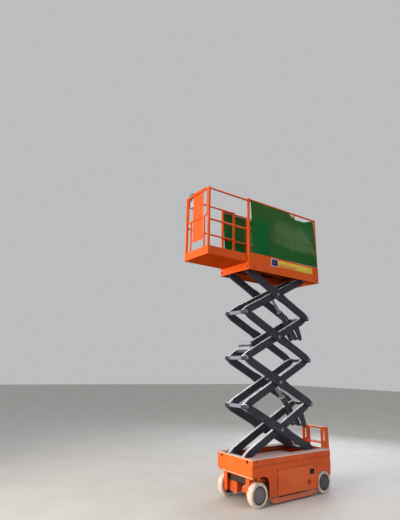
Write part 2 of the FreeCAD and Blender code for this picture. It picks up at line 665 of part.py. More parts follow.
def deck_covers():
    """The two folded covers on top of the body, each with a hand slot and an access hole."""
    cover = section("DeckCover", [
        ("roller_in + 1", "cover_top - sheet_wall"), ("wall_half", "cover_top - sheet_wall"),
        ("wall_half", "cover_top - cover_flange"), ("skin_half", "cover_top - cover_flange"),
        ("skin_half", "cover_top"), ("roller_in + 1", "cover_top"),
    ], ("rear", "front"))
    slot_z = ("cover_top - sheet_wall - 1", "cover_top + 1")
    slot_y = "(roller_in + wall_half) / 2 - hand_slot_offset"
    cuts = [shaft("HandSlotEnd%d" % index, "z", "hand_slot_radius", slot_z,
                  "hand_slot_x %s hand_slot_reach" % sign, slot_y)
            for index, sign in enumerate("+-")]
    cuts.append(block("HandSlot", ("hand_slot_x - hand_slot_reach", "hand_slot_x + hand_slot_reach"),
                      (slot_y + " - hand_slot_radius", slot_y + " + hand_slot_radius"), slot_z))
    cuts.append(block("CoverNotch", ("pivot_x - cover_notch_start - cover_notch",
                                     "pivot_x - cover_notch_start"),
                      ("roller_in", "roller_in + 1 + cover_notch_depth"), slot_z))
    cuts.append(shaft("AccessHole", "y", "access_radius", ("wall_half - 1", "skin_half + 1"),
                      "front - access_setback", z="cover_top - access_drop"))
    return node("deck_covers", both_sides("DeckCovers", cut("CutCover", cover, cuts)))


def batteries():
    """The two battery blocks that stand in the trays."""
    block_left = block("BatteryBlock", ("rear_wall + battery_end", "front_wall - battery_end"),
                       ("wall_half - door_depth - 10 - battery_depth",
                        "wall_half - door_depth - 10"),
                       ("pan_bottom + frame_wall", "pan_bottom + frame_wall + battery_height"))
    return node("battery_packs", both_sides("BatteryPacks", block_left))


def doors():
    """Folded side doors, hung at their front edge, each with a pocket for its latch."""
    across = ("door_tail", "door_head")
    height = ("skirt_bottom + 3", "door_top")
    outer = "door_face"
    skin = block("DoorSkin", across, (outer + " - sheet_wall", outer), height)
    pocket_x = ("latch_x - latch_length / 2", "latch_x + latch_length / 2")
    pocket_z = ("latch_level - latch_height / 2", "latch_level + latch_height / 2")
    pocket = block("LatchPocket", [pocket_x[0] + " - sheet_wall", pocket_x[1] + " + sheet_wall"],
                   (outer + " - latch_depth - sheet_wall", outer),
                   (pocket_z[0] + " - sheet_wall", pocket_z[1] + " + sheet_wall"))
    pocket_hollow = block("LatchHollow", pocket_x, (outer + " - latch_depth", outer + " + 1"),
                          pocket_z)
    cup = shaft("StopCup", "y", "cup_radius + sheet_wall",
                ("door_face - cup_depth - sheet_wall", "door_face"), "button_x",
                z="button_height")
    cup_hollow = shaft("StopHollow", "y", "cup_radius", ("door_face - cup_depth", "door_face + 1"),
                       "button_x", z="button_height")
    folds = [
        ("DoorTop", across, ("door_top - sheet_wall", "door_top")),
        ("DoorBottom", across, ("skirt_bottom + 3", "skirt_bottom + 3 + sheet_wall")),
        ("DoorFront", ("door_head - sheet_wall", "door_head"), height),
        ("DoorRear", ("door_tail", "door_tail + sheet_wall"), height),
    ]
    edges = [block(name, x, (outer + " - door_depth", outer), z) for name, x, z in folds]
    spans = [
        ("low_hinge + hinge_length / 2 + hinge_gap", "low_hinge + hinge_length"),
        ("high_hinge - hinge_length / 2", "high_hinge - hinge_gap"),
    ]
    barrels = [shaft("DoorBarrel%d" % index, "z", "hinge_radius", span, "hinge_x", "hinge_y")
               for index, span in enumerate(spans)]
    leaves = [block("DoorLeaf%d" % index, ("door_head - 20", "hinge_x"),
                    ("hinge_y - 2", "hinge_y + 2"), span) for index, span in enumerate(spans)]
    solid = fuse("PlainDoor", [skin, pocket] + edges + barrels + leaves)
    node("right_door", mirrored("RightDoor", cut("PocketDoor", solid, [pocket_hollow])))
    left = fuse("CuppedDoor", [solid, cup])
    node("left_door", cut("LeftDoor", left, [cup_hollow, pocket_hollow]))
    stem = shaft("StopStem", "y", "button_radius * 0.6",
                 ("door_face - cup_depth", "door_face - cup_depth / 2"), "button_x",
                 z="button_height")
    head = shaft("StopHead", "y", "button_radius", ("door_face - cup_depth / 2", "door_face + 1"),
                 "button_x", z="button_height")
    node("left_stop_button", fuse("StopButton", [stem, head]))


def guards():
    """Pothole guards, hung along the lower edge of the body."""
    edge = "guard_top - guard_barrel - running_gap"
    plate = side_plate("GuardPlate", [
        ("guard_head", edge), ("guard_head", "guard_bottom + guard_nose_rise"),
        ("guard_head - guard_nose", "guard_bottom"), ("guard_tail + guard_slope", "guard_bottom"),
        ("guard_tail", "guard_bottom + guard_rise"), ("guard_tail", edge),
    ], ("guard_half - guard_wall", "guard_half"))
    hangers = [
        fuse("GuardHanger%d" % index, [
            shaft("GuardBarrel%d" % index, "x", "guard_barrel", span, y="guard_y", z="guard_top"),
            block("GuardLeaf%d" % index, span, ("guard_half - guard_wall", "guard_half"),
                  (edge + " - 1", "guard_top")),
        ])
        for index, span in enumerate(guard_spans("hinge_gap", "guard_lug"))
    ]
    left = fuse("LeftGuard", [plate] + hangers)
    node("left_guard", left)
    node("right_guard", mirrored("RightGuard", left))


def wheels():
    """Solid tyres on moulded wheels, each with a hub that turns on its stub axle."""
    half = "tyre_width / 2"
    for name, x, side in (("front_left", "axle_x", 1), ("front_right", "axle_x", -1),
                          ("rear_left", "rear_axle_x", 1), ("rear_right", "rear_axle_x", -1)):
        y = "%d * (wheel_face - tyre_width / 2)" % side
        tyre = turned(name + "Tyre", [
            ("rim_radius", "-" + half), ("wheel_radius - tyre_round", "-" + half),
            ("wheel_radius - tyre_round * 0.29", "-" + half + " + tyre_round * 0.29"),
            ("wheel_radius", "-" + half + " + tyre_round"),
            ("wheel_radius", half + " - tyre_round"),
            ("wheel_radius - tyre_round * 0.29", half + " - tyre_round * 0.29"),
            ("wheel_radius - tyre_round", half), ("rim_radius", half),
        ])
        node(name + "_tyre", put(tyre, x, y, "wheel_radius"))
        rim = turned(name + "Rim", [
            (radius, "%d * (%s)" % (side, place)) for radius, place in (
                ("0", half + " - disc_inset"),
                ("rim_radius - rim_lip - rim_groove", half + " - disc_inset"),
                ("rim_radius - rim_lip - rim_groove", half + " - disc_inset * 2"),
                ("rim_radius - rim_lip", half + " - disc_inset * 2"),
                ("rim_radius - rim_lip", half), ("rim_radius", half), ("rim_radius", "-" + half),
                ("rim_radius - rim_lip", "-" + half),
                ("rim_radius - rim_lip - rim_groove", half + " - disc_inset * 2 - disc_wall"),
                ("hub_bore + 24", half + " - disc_inset * 2 - disc_wall"),
                ("hub_bore + 24", "-" + half), ("hub_bore + axle_clearance", "-" + half),
                ("hub_bore + axle_clearance", half + " - disc_inset - disc_wall"),
                ("0", half + " - disc_inset - disc_wall"),
            )
        ])
        node(name + "_rim", put(rim, x, y, "wheel_radius"))


def axles():
    """The front axle beam with its kingpin bearings, and the rear stub axles."""
    beam = block("FrontBeam", ("axle_x - beam_half_depth", "axle_x + beam_half_depth"),
                 ("-kingpin_half", "kingpin_half"), ("beam_bottom", "beam_top"))
    bosses = [shaft("KingpinBoss%d" % index, "z", "kingpin_boss", ("beam_bottom", "beam_top"),
                    "axle_x", "%d * kingpin_half" % side)
              for index, side in enumerate((1, -1))]
    solid = fuse("FrontAxleSolid", [beam] + bosses)
    bores = [shaft("KingpinBore%d" % index, "z", "kingpin_radius + axle_clearance",
                   ("beam_bottom - 5", "beam_top + 5"), "axle_x", "%d * kingpin_half" % side)
             for index, side in enumerate((1, -1))]
    node("front_axle", cut("FrontAxle", solid, bores))
    tube = block("RearAxleTube", ("rear_axle_x - 40", "rear_axle_x + 40"),
                 ("-web_half + 30", "web_half - 30"),
                 ("wheel_radius - 40", "wheel_radius + 40"))
    stub = shaft("RearStub", "y", "hub_bore", ("-stub_end", "stub_end"),
                 "rear_axle_x", z="wheel_radius")
    flange = shaft("RearFlange", "y", "rear_flange", ("-web_half", "web_half"), "rear_axle_x",
                   z="wheel_radius")
    hanger = block("RearHanger", ("rear_axle_x - 40", "rear_axle_x + 40"),
                   ("-web_half + 60", "web_half - 60"),
                   ("wheel_radius", "channel_floor - frame_wall"))
    node("rear_axle", fuse("RearAxle", [tube, stub, flange, hanger]))


def steering():
    """Knuckles with their stub axles and drive motors, and the tie rod that links them."""
    web = ("web_half - knuckle_plate", "web_half")
    nose = ("axle_x + knuckle_front", "axle_x + knuckle_front + knuckle_plate")
    upright = side_plate("KnuckleUpright", [
        ("axle_x - knuckle_half", "wheel_radius - 40"),
        ("axle_x - knuckle_half / 2", "knuckle_low"), ("axle_x + knuckle_half / 2", "knuckle_low"),
        (nose[1], "wheel_radius - 20"), (nose[1], "knuckle_top"),
        ("axle_x - 35", "knuckle_top"), ("axle_x - knuckle_half", "beam_top"),
    ], web)
    face = section("KnuckleFace", [
        ("kingpin_half - knuckle_inset", "knuckle_top"), ("web_half", "knuckle_top"),
        ("web_half", "wheel_radius - 20"), ("kingpin_half + 10", "knuckle_low"),
        ("kingpin_half - knuckle_inset", "wheel_radius - 20"),
    ], nose)
    bar = block("KnuckleBar", ("axle_x - bar_back", "axle_x + bar_front"), web,
                ("bar_low", "bar_low + bar_height"))
    top = block("KnuckleTop", ("axle_x - 35", nose[1]),
                ("kingpin_half - knuckle_inset", "web_half"),
                ("beam_top + running_gap", "knuckle_top"))
    low = block("KnuckleLow", ("axle_x - 45", nose[1]),
                ("kingpin_half - knuckle_inset", "web_half"),
                ("beam_bottom - running_gap - knuckle_plate", "beam_bottom - running_gap"))
    kingpin = shaft("Kingpin", "z", "kingpin_radius",
                    ("beam_bottom - running_gap - 2", "beam_top + running_gap + 2"),
                    "axle_x", "kingpin_half")
    spindle = shaft("Spindle", "y", "hub_bore", ("web_half - 2", "stub_end"), "axle_x",
                    z="wheel_radius")
    arm = block("SteerArm", ("axle_x - steer_arm - 20", "axle_x"),
                ("kingpin_half - 20", "kingpin_half + 20"),
                ("beam_top + running_gap", "knuckle_top"))
    eye = shaft("SteerEye", "z", "tie_pin + pin_clearance", ("beam_top - 5", "beam_top + 40"),
                "axle_x - steer_arm", "kingpin_half")
    left = cut("LeftKnuckle", fuse("KnuckleSolid", [upright, face, bar, top, low, kingpin,
                                                    spindle, arm]), [eye])
    node("left_knuckle", left)
    node("right_knuckle", mirrored("RightKnuckle", left))
    motor_top = "beam_bottom - running_gap - knuckle_plate"
    drum = turned("LeftDrum", [
        ("0", "motor_inset"), ("drum_small - 8", "motor_inset"), ("drum_small", "motor_inset + 8"),
        ("drum_small", "motor_inset + drum_straight"), ("drum_large", web[0] + " - drum_straight"),
        ("drum_large", web[0]), ("0", web[0]),
    ])
    node("left_drive_motor", put(drum, "axle_x", "0", motor_top + " - drum_large"))
    box_y = ("-motor_inset - motor_length", "-motor_inset")
    motor = block("MotorBox", ("axle_x - motor_half", "axle_x + motor_half"), box_y,
                  (motor_top + " - motor_height", motor_top))
    gear = shaft("GearCase", "y", "drum_large", ("-(%s)" % web[0], box_y[0] + " + 1"), "axle_x",
                 z=motor_top + " - drum_large")
    node("right_drive_motor", fuse("RightMotor", [motor, gear]))
    rod_z = "knuckle_top + running_gap"
    rod = block("TieRodBar", ("axle_x - steer_arm - tie_rod_radius",
                              "axle_x - steer_arm + tie_rod_radius"),
                ("-kingpin_half - 15", "kingpin_half + 15"),
                (rod_z, rod_z + " + 1.6 * tie_rod_radius"))
    pins = [shaft("TieRodPin%d" % index, "z", "tie_pin", ("beam_top + running_gap", rod_z + " + 1"),
                  "axle_x - steer_arm", "%d * kingpin_half" % side)
            for index, side in enumerate((1, -1))]
    node("tie_rod", fuse("TieRod", [rod] + pins))


def arm_outline(wide):
    """Side view of one arm about its centre: tapered round ends, and a wide plate if asked."""
    half = "arm_length / 2"
    edge = "arm_depth / 2"
    plate = [("-plate_half", edge), ("-plate_half * 0.45", edge + " + plate_rise"),
             ("plate_half * 0.45", edge + " + plate_rise"), ("plate_half", edge)]
    tip = [(half + " - arm_taper", edge), (half + " + arm_end * 0.45", "arm_end * 0.89"),
           (half + " + arm_end * 0.92", "arm_end * 0.39")]
    upper = [("-(%s)" % across, up) for across, up in reversed(tip)]
    upper += plate if wide else []
    upper += tip
    lower = [(across, "-(%s)" % up) for across, up in reversed(upper)]
    return upper + lower


def arms(level, kind):
    """One arm frame about its centre: two arms, their pins, cross tubes and brackets."""
    name = "Level%d%s" % (level + 1, kind.title())
    wide = kind == "outer"
    half = "arm_length / 2"
    bore = "pin_radius + pin_clearance"
    span = ("outer_in", "outer_out") if wide else ("inner_half", "inner_out")
    front, back = half, "-(%s)" % half
    holes = []
    if wide:
        holes = [("0", "0", bore)]
        holes += [] if level == 0 else [(back, "0", bore)]
        holes += [] if level == 3 else [(front, "0", bore)]
    arm = side_plate(name + "Arm", arm_outline(wide), span, holes)
    pieces = [arm]
    spacer = ("inner_out - 1", "outer_in - running_gap / 2")
    if not wide:
        ends = [(0, "0")] + [(1, front), (2, back)]
        for index, x in ends:
            reach_out = "head_out"
            if index == 1 and level == 0:
                reach_out = "outer_in + 24"
            if index == 2 and level == 3:
                reach_out = "roller_in + 0.5"
            pieces.append(shaft("%sPin%d" % (name, index), "y", "pin_radius",
                                ("inner_half + 1", reach_out), x))
            pieces.append(shaft("%sSpacer%d" % (name, index), "y", "pin_radius + 12", spacer, x))
            if reach_out == "head_out":
                pieces.append(shaft("%sHead%d" % (name, index), "y", "pin_head",
                                    ("head_in", "head_out"), x))
        if level == 3:
            pieces.append(shaft(name + "Roller", "y", "roller_radius",
                                ("roller_in", "roller_out"), back))
    else:
        if level == 0:
            pieces.append(shaft(name + "RollerPin", "y", "roller_pin",
                                ("outer_in + 1", "roller_out"), back))
            pieces.append(shaft(name + "Roller", "y", "roller_radius",
                                ("roller_in", "roller_out"), back))
        if level == 3:
            pieces.append(shaft(name + "TopPin", "y", "pin_radius",
                                ("outer_in + 1", "head_out + 14"), front))
    if level in (0, 2) and not wide:
        inset = "inner_half" if level == 0 else "inner_half - bracket_wall - 6"
        cheek = side_plate(name + "Cheek", [
            ("-bracket_station - bracket_width / 2", "-bracket_drop"),
            ("-bracket_station - bracket_width / 4", "-bracket_drop - bracket_width / 2"),
            ("-bracket_station + bracket_width / 4", "-bracket_drop - bracket_width / 2"),
            ("-bracket_station + bracket_width / 2", "-bracket_drop"),
            ("-bracket_station + bracket_width * 0.9", "arm_depth / 2"),
            ("-bracket_station - bracket_width * 0.9", "arm_depth / 2"),
        ], (inset + " - bracket_wall", inset))
        pieces.append(cheek)
        if level == 2:
            pieces.append(block(name + "CheekSeat", ("-bracket_station - bracket_width * 0.7",
                                                     "-bracket_station + bracket_width * 0.7"),
                                (inset + " - 1", "inner_half + 1"),
                                ("-arm_depth / 4", "arm_depth / 4")))
        sleeve = shaft(name + "Sleeve", "y", "pin_radius + 9",
                       ("eye_half + ear_gap", inset + " - bracket_wall + 1"),
                       "-bracket_station", z="-bracket_drop")
        pieces.append(sleeve)
    if level in (1, 3) and not wide:
        pieces.append(shaft(name + "EyeTube", "y", "tube_radius - 6",
                            ("eye_half + ear_gap + ear_wall - 1", "inner_half + 1"),
                            "-eye_station"))
        pieces.append(shaft(name + "EyeEar", "y", "eye_radius + 8",
                            ("eye_half + ear_gap", "eye_half + ear_gap + ear_wall"),
                            "-eye_station"))
    side = fuse(name + "Side", pieces)
    whole = [side, mirrored(name + "SideRight", side)]
    tube_ends = [(1, front), (2, back)]
    if wide:
        tube_ends = []
        if level == 0:
            tube_ends = [(2, back)]
        if level == 3:
            tube_ends = [(1, front)]
    reach_in = ("-outer_in - 1", "outer_in + 1") if wide else ("-inner_half - 1", "inner_half + 1")
    for index, x in tube_ends:
        whole.append(shaft("%sTube%d" % (name, index), "y",
                           "tube_radius" if not wide else "tube_radius - 6", reach_in, x))
    if level in (0, 2) and not wide:
        whole.append(shaft(name + "BasePin", "y", "cylinder_pin",
                           ("-eye_half - ear_gap - 2", "eye_half + ear_gap + 2"),
                           "-bracket_station", z="-bracket_drop"))
    frame = fuse(name, whole)
    angle = "rest_angle" if kind == "inner" else "-rest_angle"
    put(frame, "pivot_x - reach / 2", "0", "pivot_height + %d * pitch + pitch / 2" % level,
        Y_AXIS, angle)
    return node("level_%d_%s_arms" % (level + 1, kind), frame)


def cylinders():
    """Lift cylinders, each from the bracket under one inner frame to the eye in the next one."""
    for level, name in ((0, "lower"), (2, "upper")):
        eye = shaft(name + "BaseEye", "y", "eye_radius", ("-eye_half", "eye_half"))
        neck = shaft(name + "Neck", "x", "eye_neck", ("eye_radius / 2", "barrel_start + 1"))
        tube = shaft(name + "Barrel", "x", "barrel_radius", ("barrel_start", "barrel_length"))
        gland = shaft(name + "Gland", "x", "barrel_radius + 5",
                      ("barrel_length - gland_length", "barrel_length"))
        bores = [
            shaft(name + "BaseBore", "y", "cylinder_pin + pin_clearance",
                  ("-eye_half - 1", "eye_half + 1")),
            shaft(name + "RodBore", "x", "rod_radius + rod_clearance",
                  ("barrel_start + barrel_radius - rod_radius", "barrel_length + 1")),
        ]
        rod_eye = shaft(name + "RodEye", "y", "eye_radius", ("-eye_half", "eye_half"),
                        "cylinder_length")
        rod_pin = shaft(name + "RodPin", "y", "cylinder_pin",
                        ("-eye_half - running_gap", "eye_half + running_gap"),
                        "cylinder_length")
        rod = shaft(name + "Rod", "x", "rod_radius",
                    ("cylinder_length - rod_length", "cylinder_length - eye_radius + 6"))
        shapes = (
            ("barrel", cut(name + "BarrelBored",
                           fuse(name + "BarrelSolid", [eye, neck, tube, gland]), bores)),
            ("rod", fuse(name + "RodSolid", [rod_eye, rod_pin, rod])),
        )
        for piece, shape in shapes:
            put(shape, "base_x", "0", "pivot_height + %d * pitch + base_rise" % level,
                Y_AXIS, "-atan(stroke_z / stroke_x)")
            node("%s_cylinder_%s" % (name, piece), shape)


def ladder():
    """The rear ladder: two plates with a hand slot each, and its rungs."""
    slot = [
        ("ladder_x - 90 - slot_width / 2", "slot_low + 10"),
        ("ladder_x - 90 - slot_width / 4", "slot_low"),
        ("ladder_x - 90 + slot_width / 4", "slot_low"),
        ("ladder_x - 90 + slot_width / 2", "slot_low + 10"),
        ("ladder_x - 90 + slot_width / 2", "slot_high - 10"),
        ("ladder_x - 90 + slot_width / 4", "slot_high"),
        ("ladder_x - 90 - slot_width / 4", "slot_high"),
        ("ladder_x - 90 - slot_width / 2", "slot_high - 10"),
    ]
    plate = side_plate("LadderSide", [
        ("ladder_x", "ladder_bottom"), ("ladder_x", "arch_rear_top + 10"),
        ("rear", "arch_rear_top + 10"), ("rear", "arch_rear_top + 80"),
        ("ladder_x", "arch_rear_top + 80"), ("ladder_x", "pivot_height - 74"),
        ("rear", "pivot_height - 74"), ("rear", "pivot_height - 4"),
        ("ladder_x", "pivot_height - 4"), ("ladder_x", "ladder_top"),
        ("ladder_back + 30", "ladder_top"), ("ladder_back", "ladder_top - 30"),
        ("ladder_back", "ladder_bottom + 60"), ("ladder_back + 60", "ladder_bottom"),
    ], ("ladder_half - ladder_wall", "ladder_half"), windows=[slot])
    rungs = [block("Rung%d" % index, ("ladder_back + 6", "ladder_back + 6 + rung_depth"),
                   ("-ladder_half + 1", "ladder_half - 1"),
                   ("ladder_top - 8 - rung_height - %d * rung_pitch" % index,
                    "ladder_top - 8 - %d * rung_pitch" % index)) for index in range(4)]
    both = both_sides("LadderSides", plate)
    node("entry_ladder", fuse("Ladder", [both] + rungs))


def main_deck():
    """The main deck: floor, side panels, end beams, roller tracks and the front pivots' ears."""
    floor = block("Floor", ("deck_rear", "deck_front"), ("-deck_half + 1", "deck_half - 1"),
                  ("floor_low", "floor_z"))
    panel = section("SidePanel", [
        ("deck_half - 24", "skirt_z"), ("deck_half", "skirt_z"), ("deck_half", "panel_z"),
        ("deck_half - deck_wall", "panel_z"), ("deck_half - deck_wall", "skirt_z + deck_wall"),
        ("deck_half - 24", "skirt_z + deck_wall"),
    ], ("deck_rear", "deck_front"))
    beams = [block("EndBeam%d" % index, span, ("-deck_half + 1", "deck_half - 1"),
                   ("skirt_z", "floor_low + 1")) for index, span in enumerate([
                       ("deck_front - deck_wall", "deck_front"),
                       ("deck_rear", "deck_rear + deck_wall")])]
    low = "deck_z - roller_radius - track_gap"
    high = "deck_z + roller_radius + track_gap"
    track = section("DeckTrack", [
        ("roller_in + 1", low), ("roller_in + 1", low + " - track_wall"),
        ("track_back + track_wall", low + " - track_wall"),
        ("track_back + track_wall", "floor_low + 1"), ("track_back", "floor_low + 1"),
        ("track_back", high + " + track_wall"), ("roller_in + 1", high + " + track_wall"),
        ("roller_in + 1", high), ("track_back", high), ("track_back", low),
    ], ("deck_rear + 1", "deck_rear + track_length"))
    ear = side_plate("DeckEar", [
        ("pivot_x - 60", "floor_low + 1"), ("pivot_x - 40", "deck_z - 10"),
        ("pivot_x - 22", "deck_z - 36"), ("pivot_x + 22", "deck_z - 36"),
        ("pivot_x + 38", "deck_z - 10"), ("pivot_x + 38", "floor_low + 1"),
    ], ("head_in + 2", "head_out + 10"), [("pivot_x", "deck_z", "pin_radius + pin_clearance")])
    side = fuse("DeckSide", [panel, track, ear])
    deck = fuse("Deck", [side, mirrored("DeckSideRight", side), floor] + beams)
    node("platform_deck", deck)


def tube_between(name, along, span, x="0", y="0", z="0", radius="rail_tube / 2"):
    return shaft(name, along, radius, span, x, y, z)


def post(name, x, y, z, size="post_size"):
    return block(name, (x + " - " + size + " / 2", x + " + " + size + " / 2"),
                 (y + " - " + size + " / 2", y + " + " + size + " / 2"), z)


def main_rails():
    """Guard rails of the main deck, one frame along each side."""
    pieces = [post("RailPost%d" % index, x, "rail_half", ("floor_z", "rail_z"))
              for index, x in enumerate(("front_post_x", "rear_post_x"))]
    pieces += [
        tube_between("RailBar%d" % index, "x", ("rear_post_x", "front_post_x"), y="rail_half",
                     z=z) for index, z in enumerate(("rail_z - rail_tube / 2", "mid_z"))]
    pieces += [
        tube_between("RailUpright%d" % index, "z", ("floor_z", "rail_z - rail_tube / 2"),
                     "rear_post_x + (front_post_x - rear_post_x) * %d / 3" % (index + 1),
                     "rail_half", radius="rail_tube / 2 - 2") for index in range(2)]
    frame = fuse("RailFrame", pieces)
    lugs = [fuse("GateLug%d" % index, [
        shaft("GateLugBarrel%d" % index, "z", "hinge_radius", span, "gate_axis_x", "gate_axis_y"),
        block("GateLugLeaf%d" % index, ("rear_post_x", "gate_axis_x"),
              ("-rail_half", "gate_axis_y"), span)])
        for index, span in enumerate((
            ("mid_z - gate_low", "mid_z - gate_low + gate_lug"),
            ("rail_z - gate_high", "rail_z - gate_high + gate_lug")))]
    node("platform_rails", fuse("MainRails", [frame, mirrored("RailFrameRight", frame)] + lugs))


def gate():
    """The entry gate at the ladder end, hung on the right post and opening inwards."""
    bottom = "floor_z + gate_clear"
    stiles = [tube_between("GateStile%d" % index, "z", (bottom, "rail_z - 4"),
                           "rear_post_x", "%d * (gate_half - rail_tube / 2)" % side)
              for index, side in enumerate((-1, 1))]
    bars = [tube_between("GateBar%d" % index, "y", ("-gate_half + 10", "gate_half - 10"),
                         "rear_post_x", z=z, radius="rail_tube / 2 - 2")
            for index, z in enumerate(("rail_z - rail_tube / 2 - 10", "mid_z"))]
    toe = block("GateToe", ("rear_post_x - 2", "rear_post_x + 2"),
                ("-gate_half + 10", "gate_half - 10"), (bottom, bottom + " + toe_height"))
    hangers = [fuse("GateHanger%d" % index, [
        shaft("GateBarrel%d" % index, "z", "hinge_radius", span, "gate_axis_x", "gate_axis_y"),
        block("GateLeaf%d" % index, ("rear_post_x", "gate_axis_x"),
              ("gate_axis_y", "-gate_half + rail_tube / 2"), span)])
        for index, span in enumerate((
            ("mid_z - gate_low + gate_lug + hinge_gap", "mid_z - gate_low + 2 * gate_lug"),
            ("rail_z - gate_high + gate_lug + hinge_gap", "rail_z - gate_high + 2 * gate_lug")))]
    node("entry_gate", fuse("Gate", stiles + bars + [toe] + hangers))


def extension():
    """The extension deck, its rails with the front hoop, and the control box behind the hoop."""
    floor = block("ExtensionFloor", ("ext_tail", "ext_front"),
                  ("-extension_half", "extension_half"),
                  ("ext_floor", "ext_floor + extension_wall"))
    toes = [block("ExtensionToe%d" % index, ("ext_tail", "ext_front"), span,
                  ("ext_floor", "ext_top")) for index, span in enumerate([
                      ("extension_half - extension_wall", "extension_half"),
                      ("-extension_half", "-extension_half + extension_wall")])]
    toes.append(block("ExtensionToeFront", ("ext_front - extension_wall", "ext_front"),
                      ("-extension_half", "extension_half"), ("ext_floor", "ext_top")))
    pads = [block("SlidePad%d" % index, ("ext_tail", "ext_tail + slide_pad_length"),
                  ("%d * slide_pad_half - slide_pad_width / 2" % side,
                   "%d * slide_pad_half + slide_pad_width / 2" % side),
                  ("floor_z + seat_gap", "ext_floor + 1")) for index, side in enumerate((-1, 1))]
    node("extension_deck", fuse("ExtensionDeck", [floor] + toes + pads))

    foot = "ext_floor + extension_wall"
    side_pieces = [post("ExtensionPost%d" % index, x, "ext_rail", (foot, "rail_z"), "rail_tube")
                   for index, x in enumerate(("ext_post_x", "tail_post_x"))]
    side_pieces += [tube_between("ExtensionBar%d" % index, "x", ("tail_post_x", "ext_post_x"),
                                 y="ext_rail", z=z, radius="bar_radius")
                    for index, z in enumerate(("rail_z - rail_tube / 2", "mid_z"))]
    side = fuse("ExtensionSide", side_pieces)
    top = tube_between("ExtensionTop", "y", ("-ext_rail", "ext_rail"), "ext_post_x",
                       z="rail_z - rail_tube / 2", radius="bar_radius")
    tube = "loop_tube / 2"
    corner_y = "loop_half - loop_bend"
    hoop = [bend("HoopBend%d" % quarter, "loop_bend", tube, quarter, "loop_x", y, z)
            for quarter, (y, z) in enumerate((
                (corner_y, "loop_low + loop_bend"), (corner_y, "loop_top - loop_bend"),
                ("-(%s)" % corner_y, "loop_top - loop_bend"),
                ("-(%s)" % corner_y, "loop_low + loop_bend")))]
    hoop += [shaft("HoopSide%d" % index, "z", tube,
                   ("loop_low + loop_bend", "loop_top - loop_bend"), "loop_x",
                   "%d * loop_half" % sign) for index, sign in enumerate((-1, 1))]
    hoop += [shaft("HoopCross%d" % index, "y", tube, ("-(%s)" % corner_y, corner_y), "loop_x",
                   z=z) for index, z in enumerate(("loop_low", "loop_top"))]
    bars = [shaft("FrontBar%d" % index, "z", "front_bar_radius",
                  (foot, "loop_low - loop_tube / 4"), "ext_post_x",
                  "%d * front_bar_half" % sign) for index, sign in enumerate((-1, 1))]
    plate = block("FrontPlatePanel", ("panel_front - panel_wall", "panel_front"),
                  ("-panel_half", "panel_half"), ("ext_top + window_height", "loop_top + loop_tube / 4"))
    front_rail = fuse("ExtensionFront", [fuse("Hoop", hoop), plate] + bars)
    sides = fuse("ExtensionSides", [side, mirrored("ExtensionSideRight", side), top])
    rails = fuse("ExtensionRails", [sides, front_rail])
    node("extension_rails", rails)

    body = block("ControlBody", ("box_front - box_depth", "box_front"),
                 ("-box_outer", "-box_inner"), ("box_top - box_height", "box_top + 1"))
    console = side_plate("ControlConsole", [
        ("box_front - box_depth", "box_top"), ("box_front", "box_top"),
        ("box_front", "box_top + console_height"),
        ("box_front - box_depth + console_slope", "box_top + console_height"),
        ("box_front - box_depth", "box_top + console_height - console_slope * 1.5"),
    ], ("-box_outer", "-box_inner"))
    hook = side_plate("ControlHook", [
        ("box_front - 1", "hook_seat"), ("hook_x", "hook_seat"),
        ("hook_x", "hook_seat - hook_drop"), ("hook_x + hook_wall", "hook_seat - hook_drop"),
        ("hook_x + hook_wall", "hook_seat + hook_wall"),
        ("box_front - 1", "hook_seat + hook_wall"),
    ], ("-hook_outer", "-hook_inner"))
    node("platform_controls", fuse("Controls", [body, console, hook]))


def nets():
    """Debris nets tied along the outside of the main rails."""
    y = ("rail_half + post_size / 2 + seat_gap", "rail_half + post_size / 2 + seat_gap + net_wall")
    net = side_plate("LeftNet", [
        ("deck_front - net_front_low", "panel_z + seat_gap"),
        ("deck_front - net_front_high", "rail_z - net_drop"),
        ("deck_rear + net_rear_high", "rail_z - net_drop - 8"),
        ("deck_rear + net_rear_middle", "mid_z + net_rear_bend"),
        ("deck_rear + net_rear_low", "panel_z + seat_gap"),
    ], y)
    node("left_net", net)
    node("right_net", mirrored("RightNet", net))


for maker in (base_frame, front_plate, deck_covers, batteries, doors, guards, wheels, axles,
              steering, cylinders, ladder, main_deck, main_rails, gate, extension, nets):
    maker()
for level in range(4):
    for kind in ("inner", "outer"):
        arms(level, kind)

doc.recompute()
bad = [(item.Label, item.State) for item in doc.Objects
       if "Invalid" in item.State or "Error" in item.State]
if bad:
    raise RuntimeError("objects that failed: %s" % bad)
os.makedirs("parts", exist_ok=True)
for label, item in nodes:
    shape = item.Shape
    if shape.isNull() or not shape.isValid() or not shape.Solids:
        raise RuntimeError("no sound solid in " + label)
for label, item in nodes:
    item.Shape.exportStep("parts/%s.step" % label)
    box = item.Shape.BoundBox
    print("%-22s solids %d volume %.0f box %s" % (
        label, len(item.Shape.Solids), item.Shape.Volume,
        [round(v) for v in (box.XMin, box.XMax, box.YMin, box.YMax, box.ZMin, box.ZMax)]))
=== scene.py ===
import json
import math

import bmesh
import bpy
from mathutils import Matrix, Vector, noise

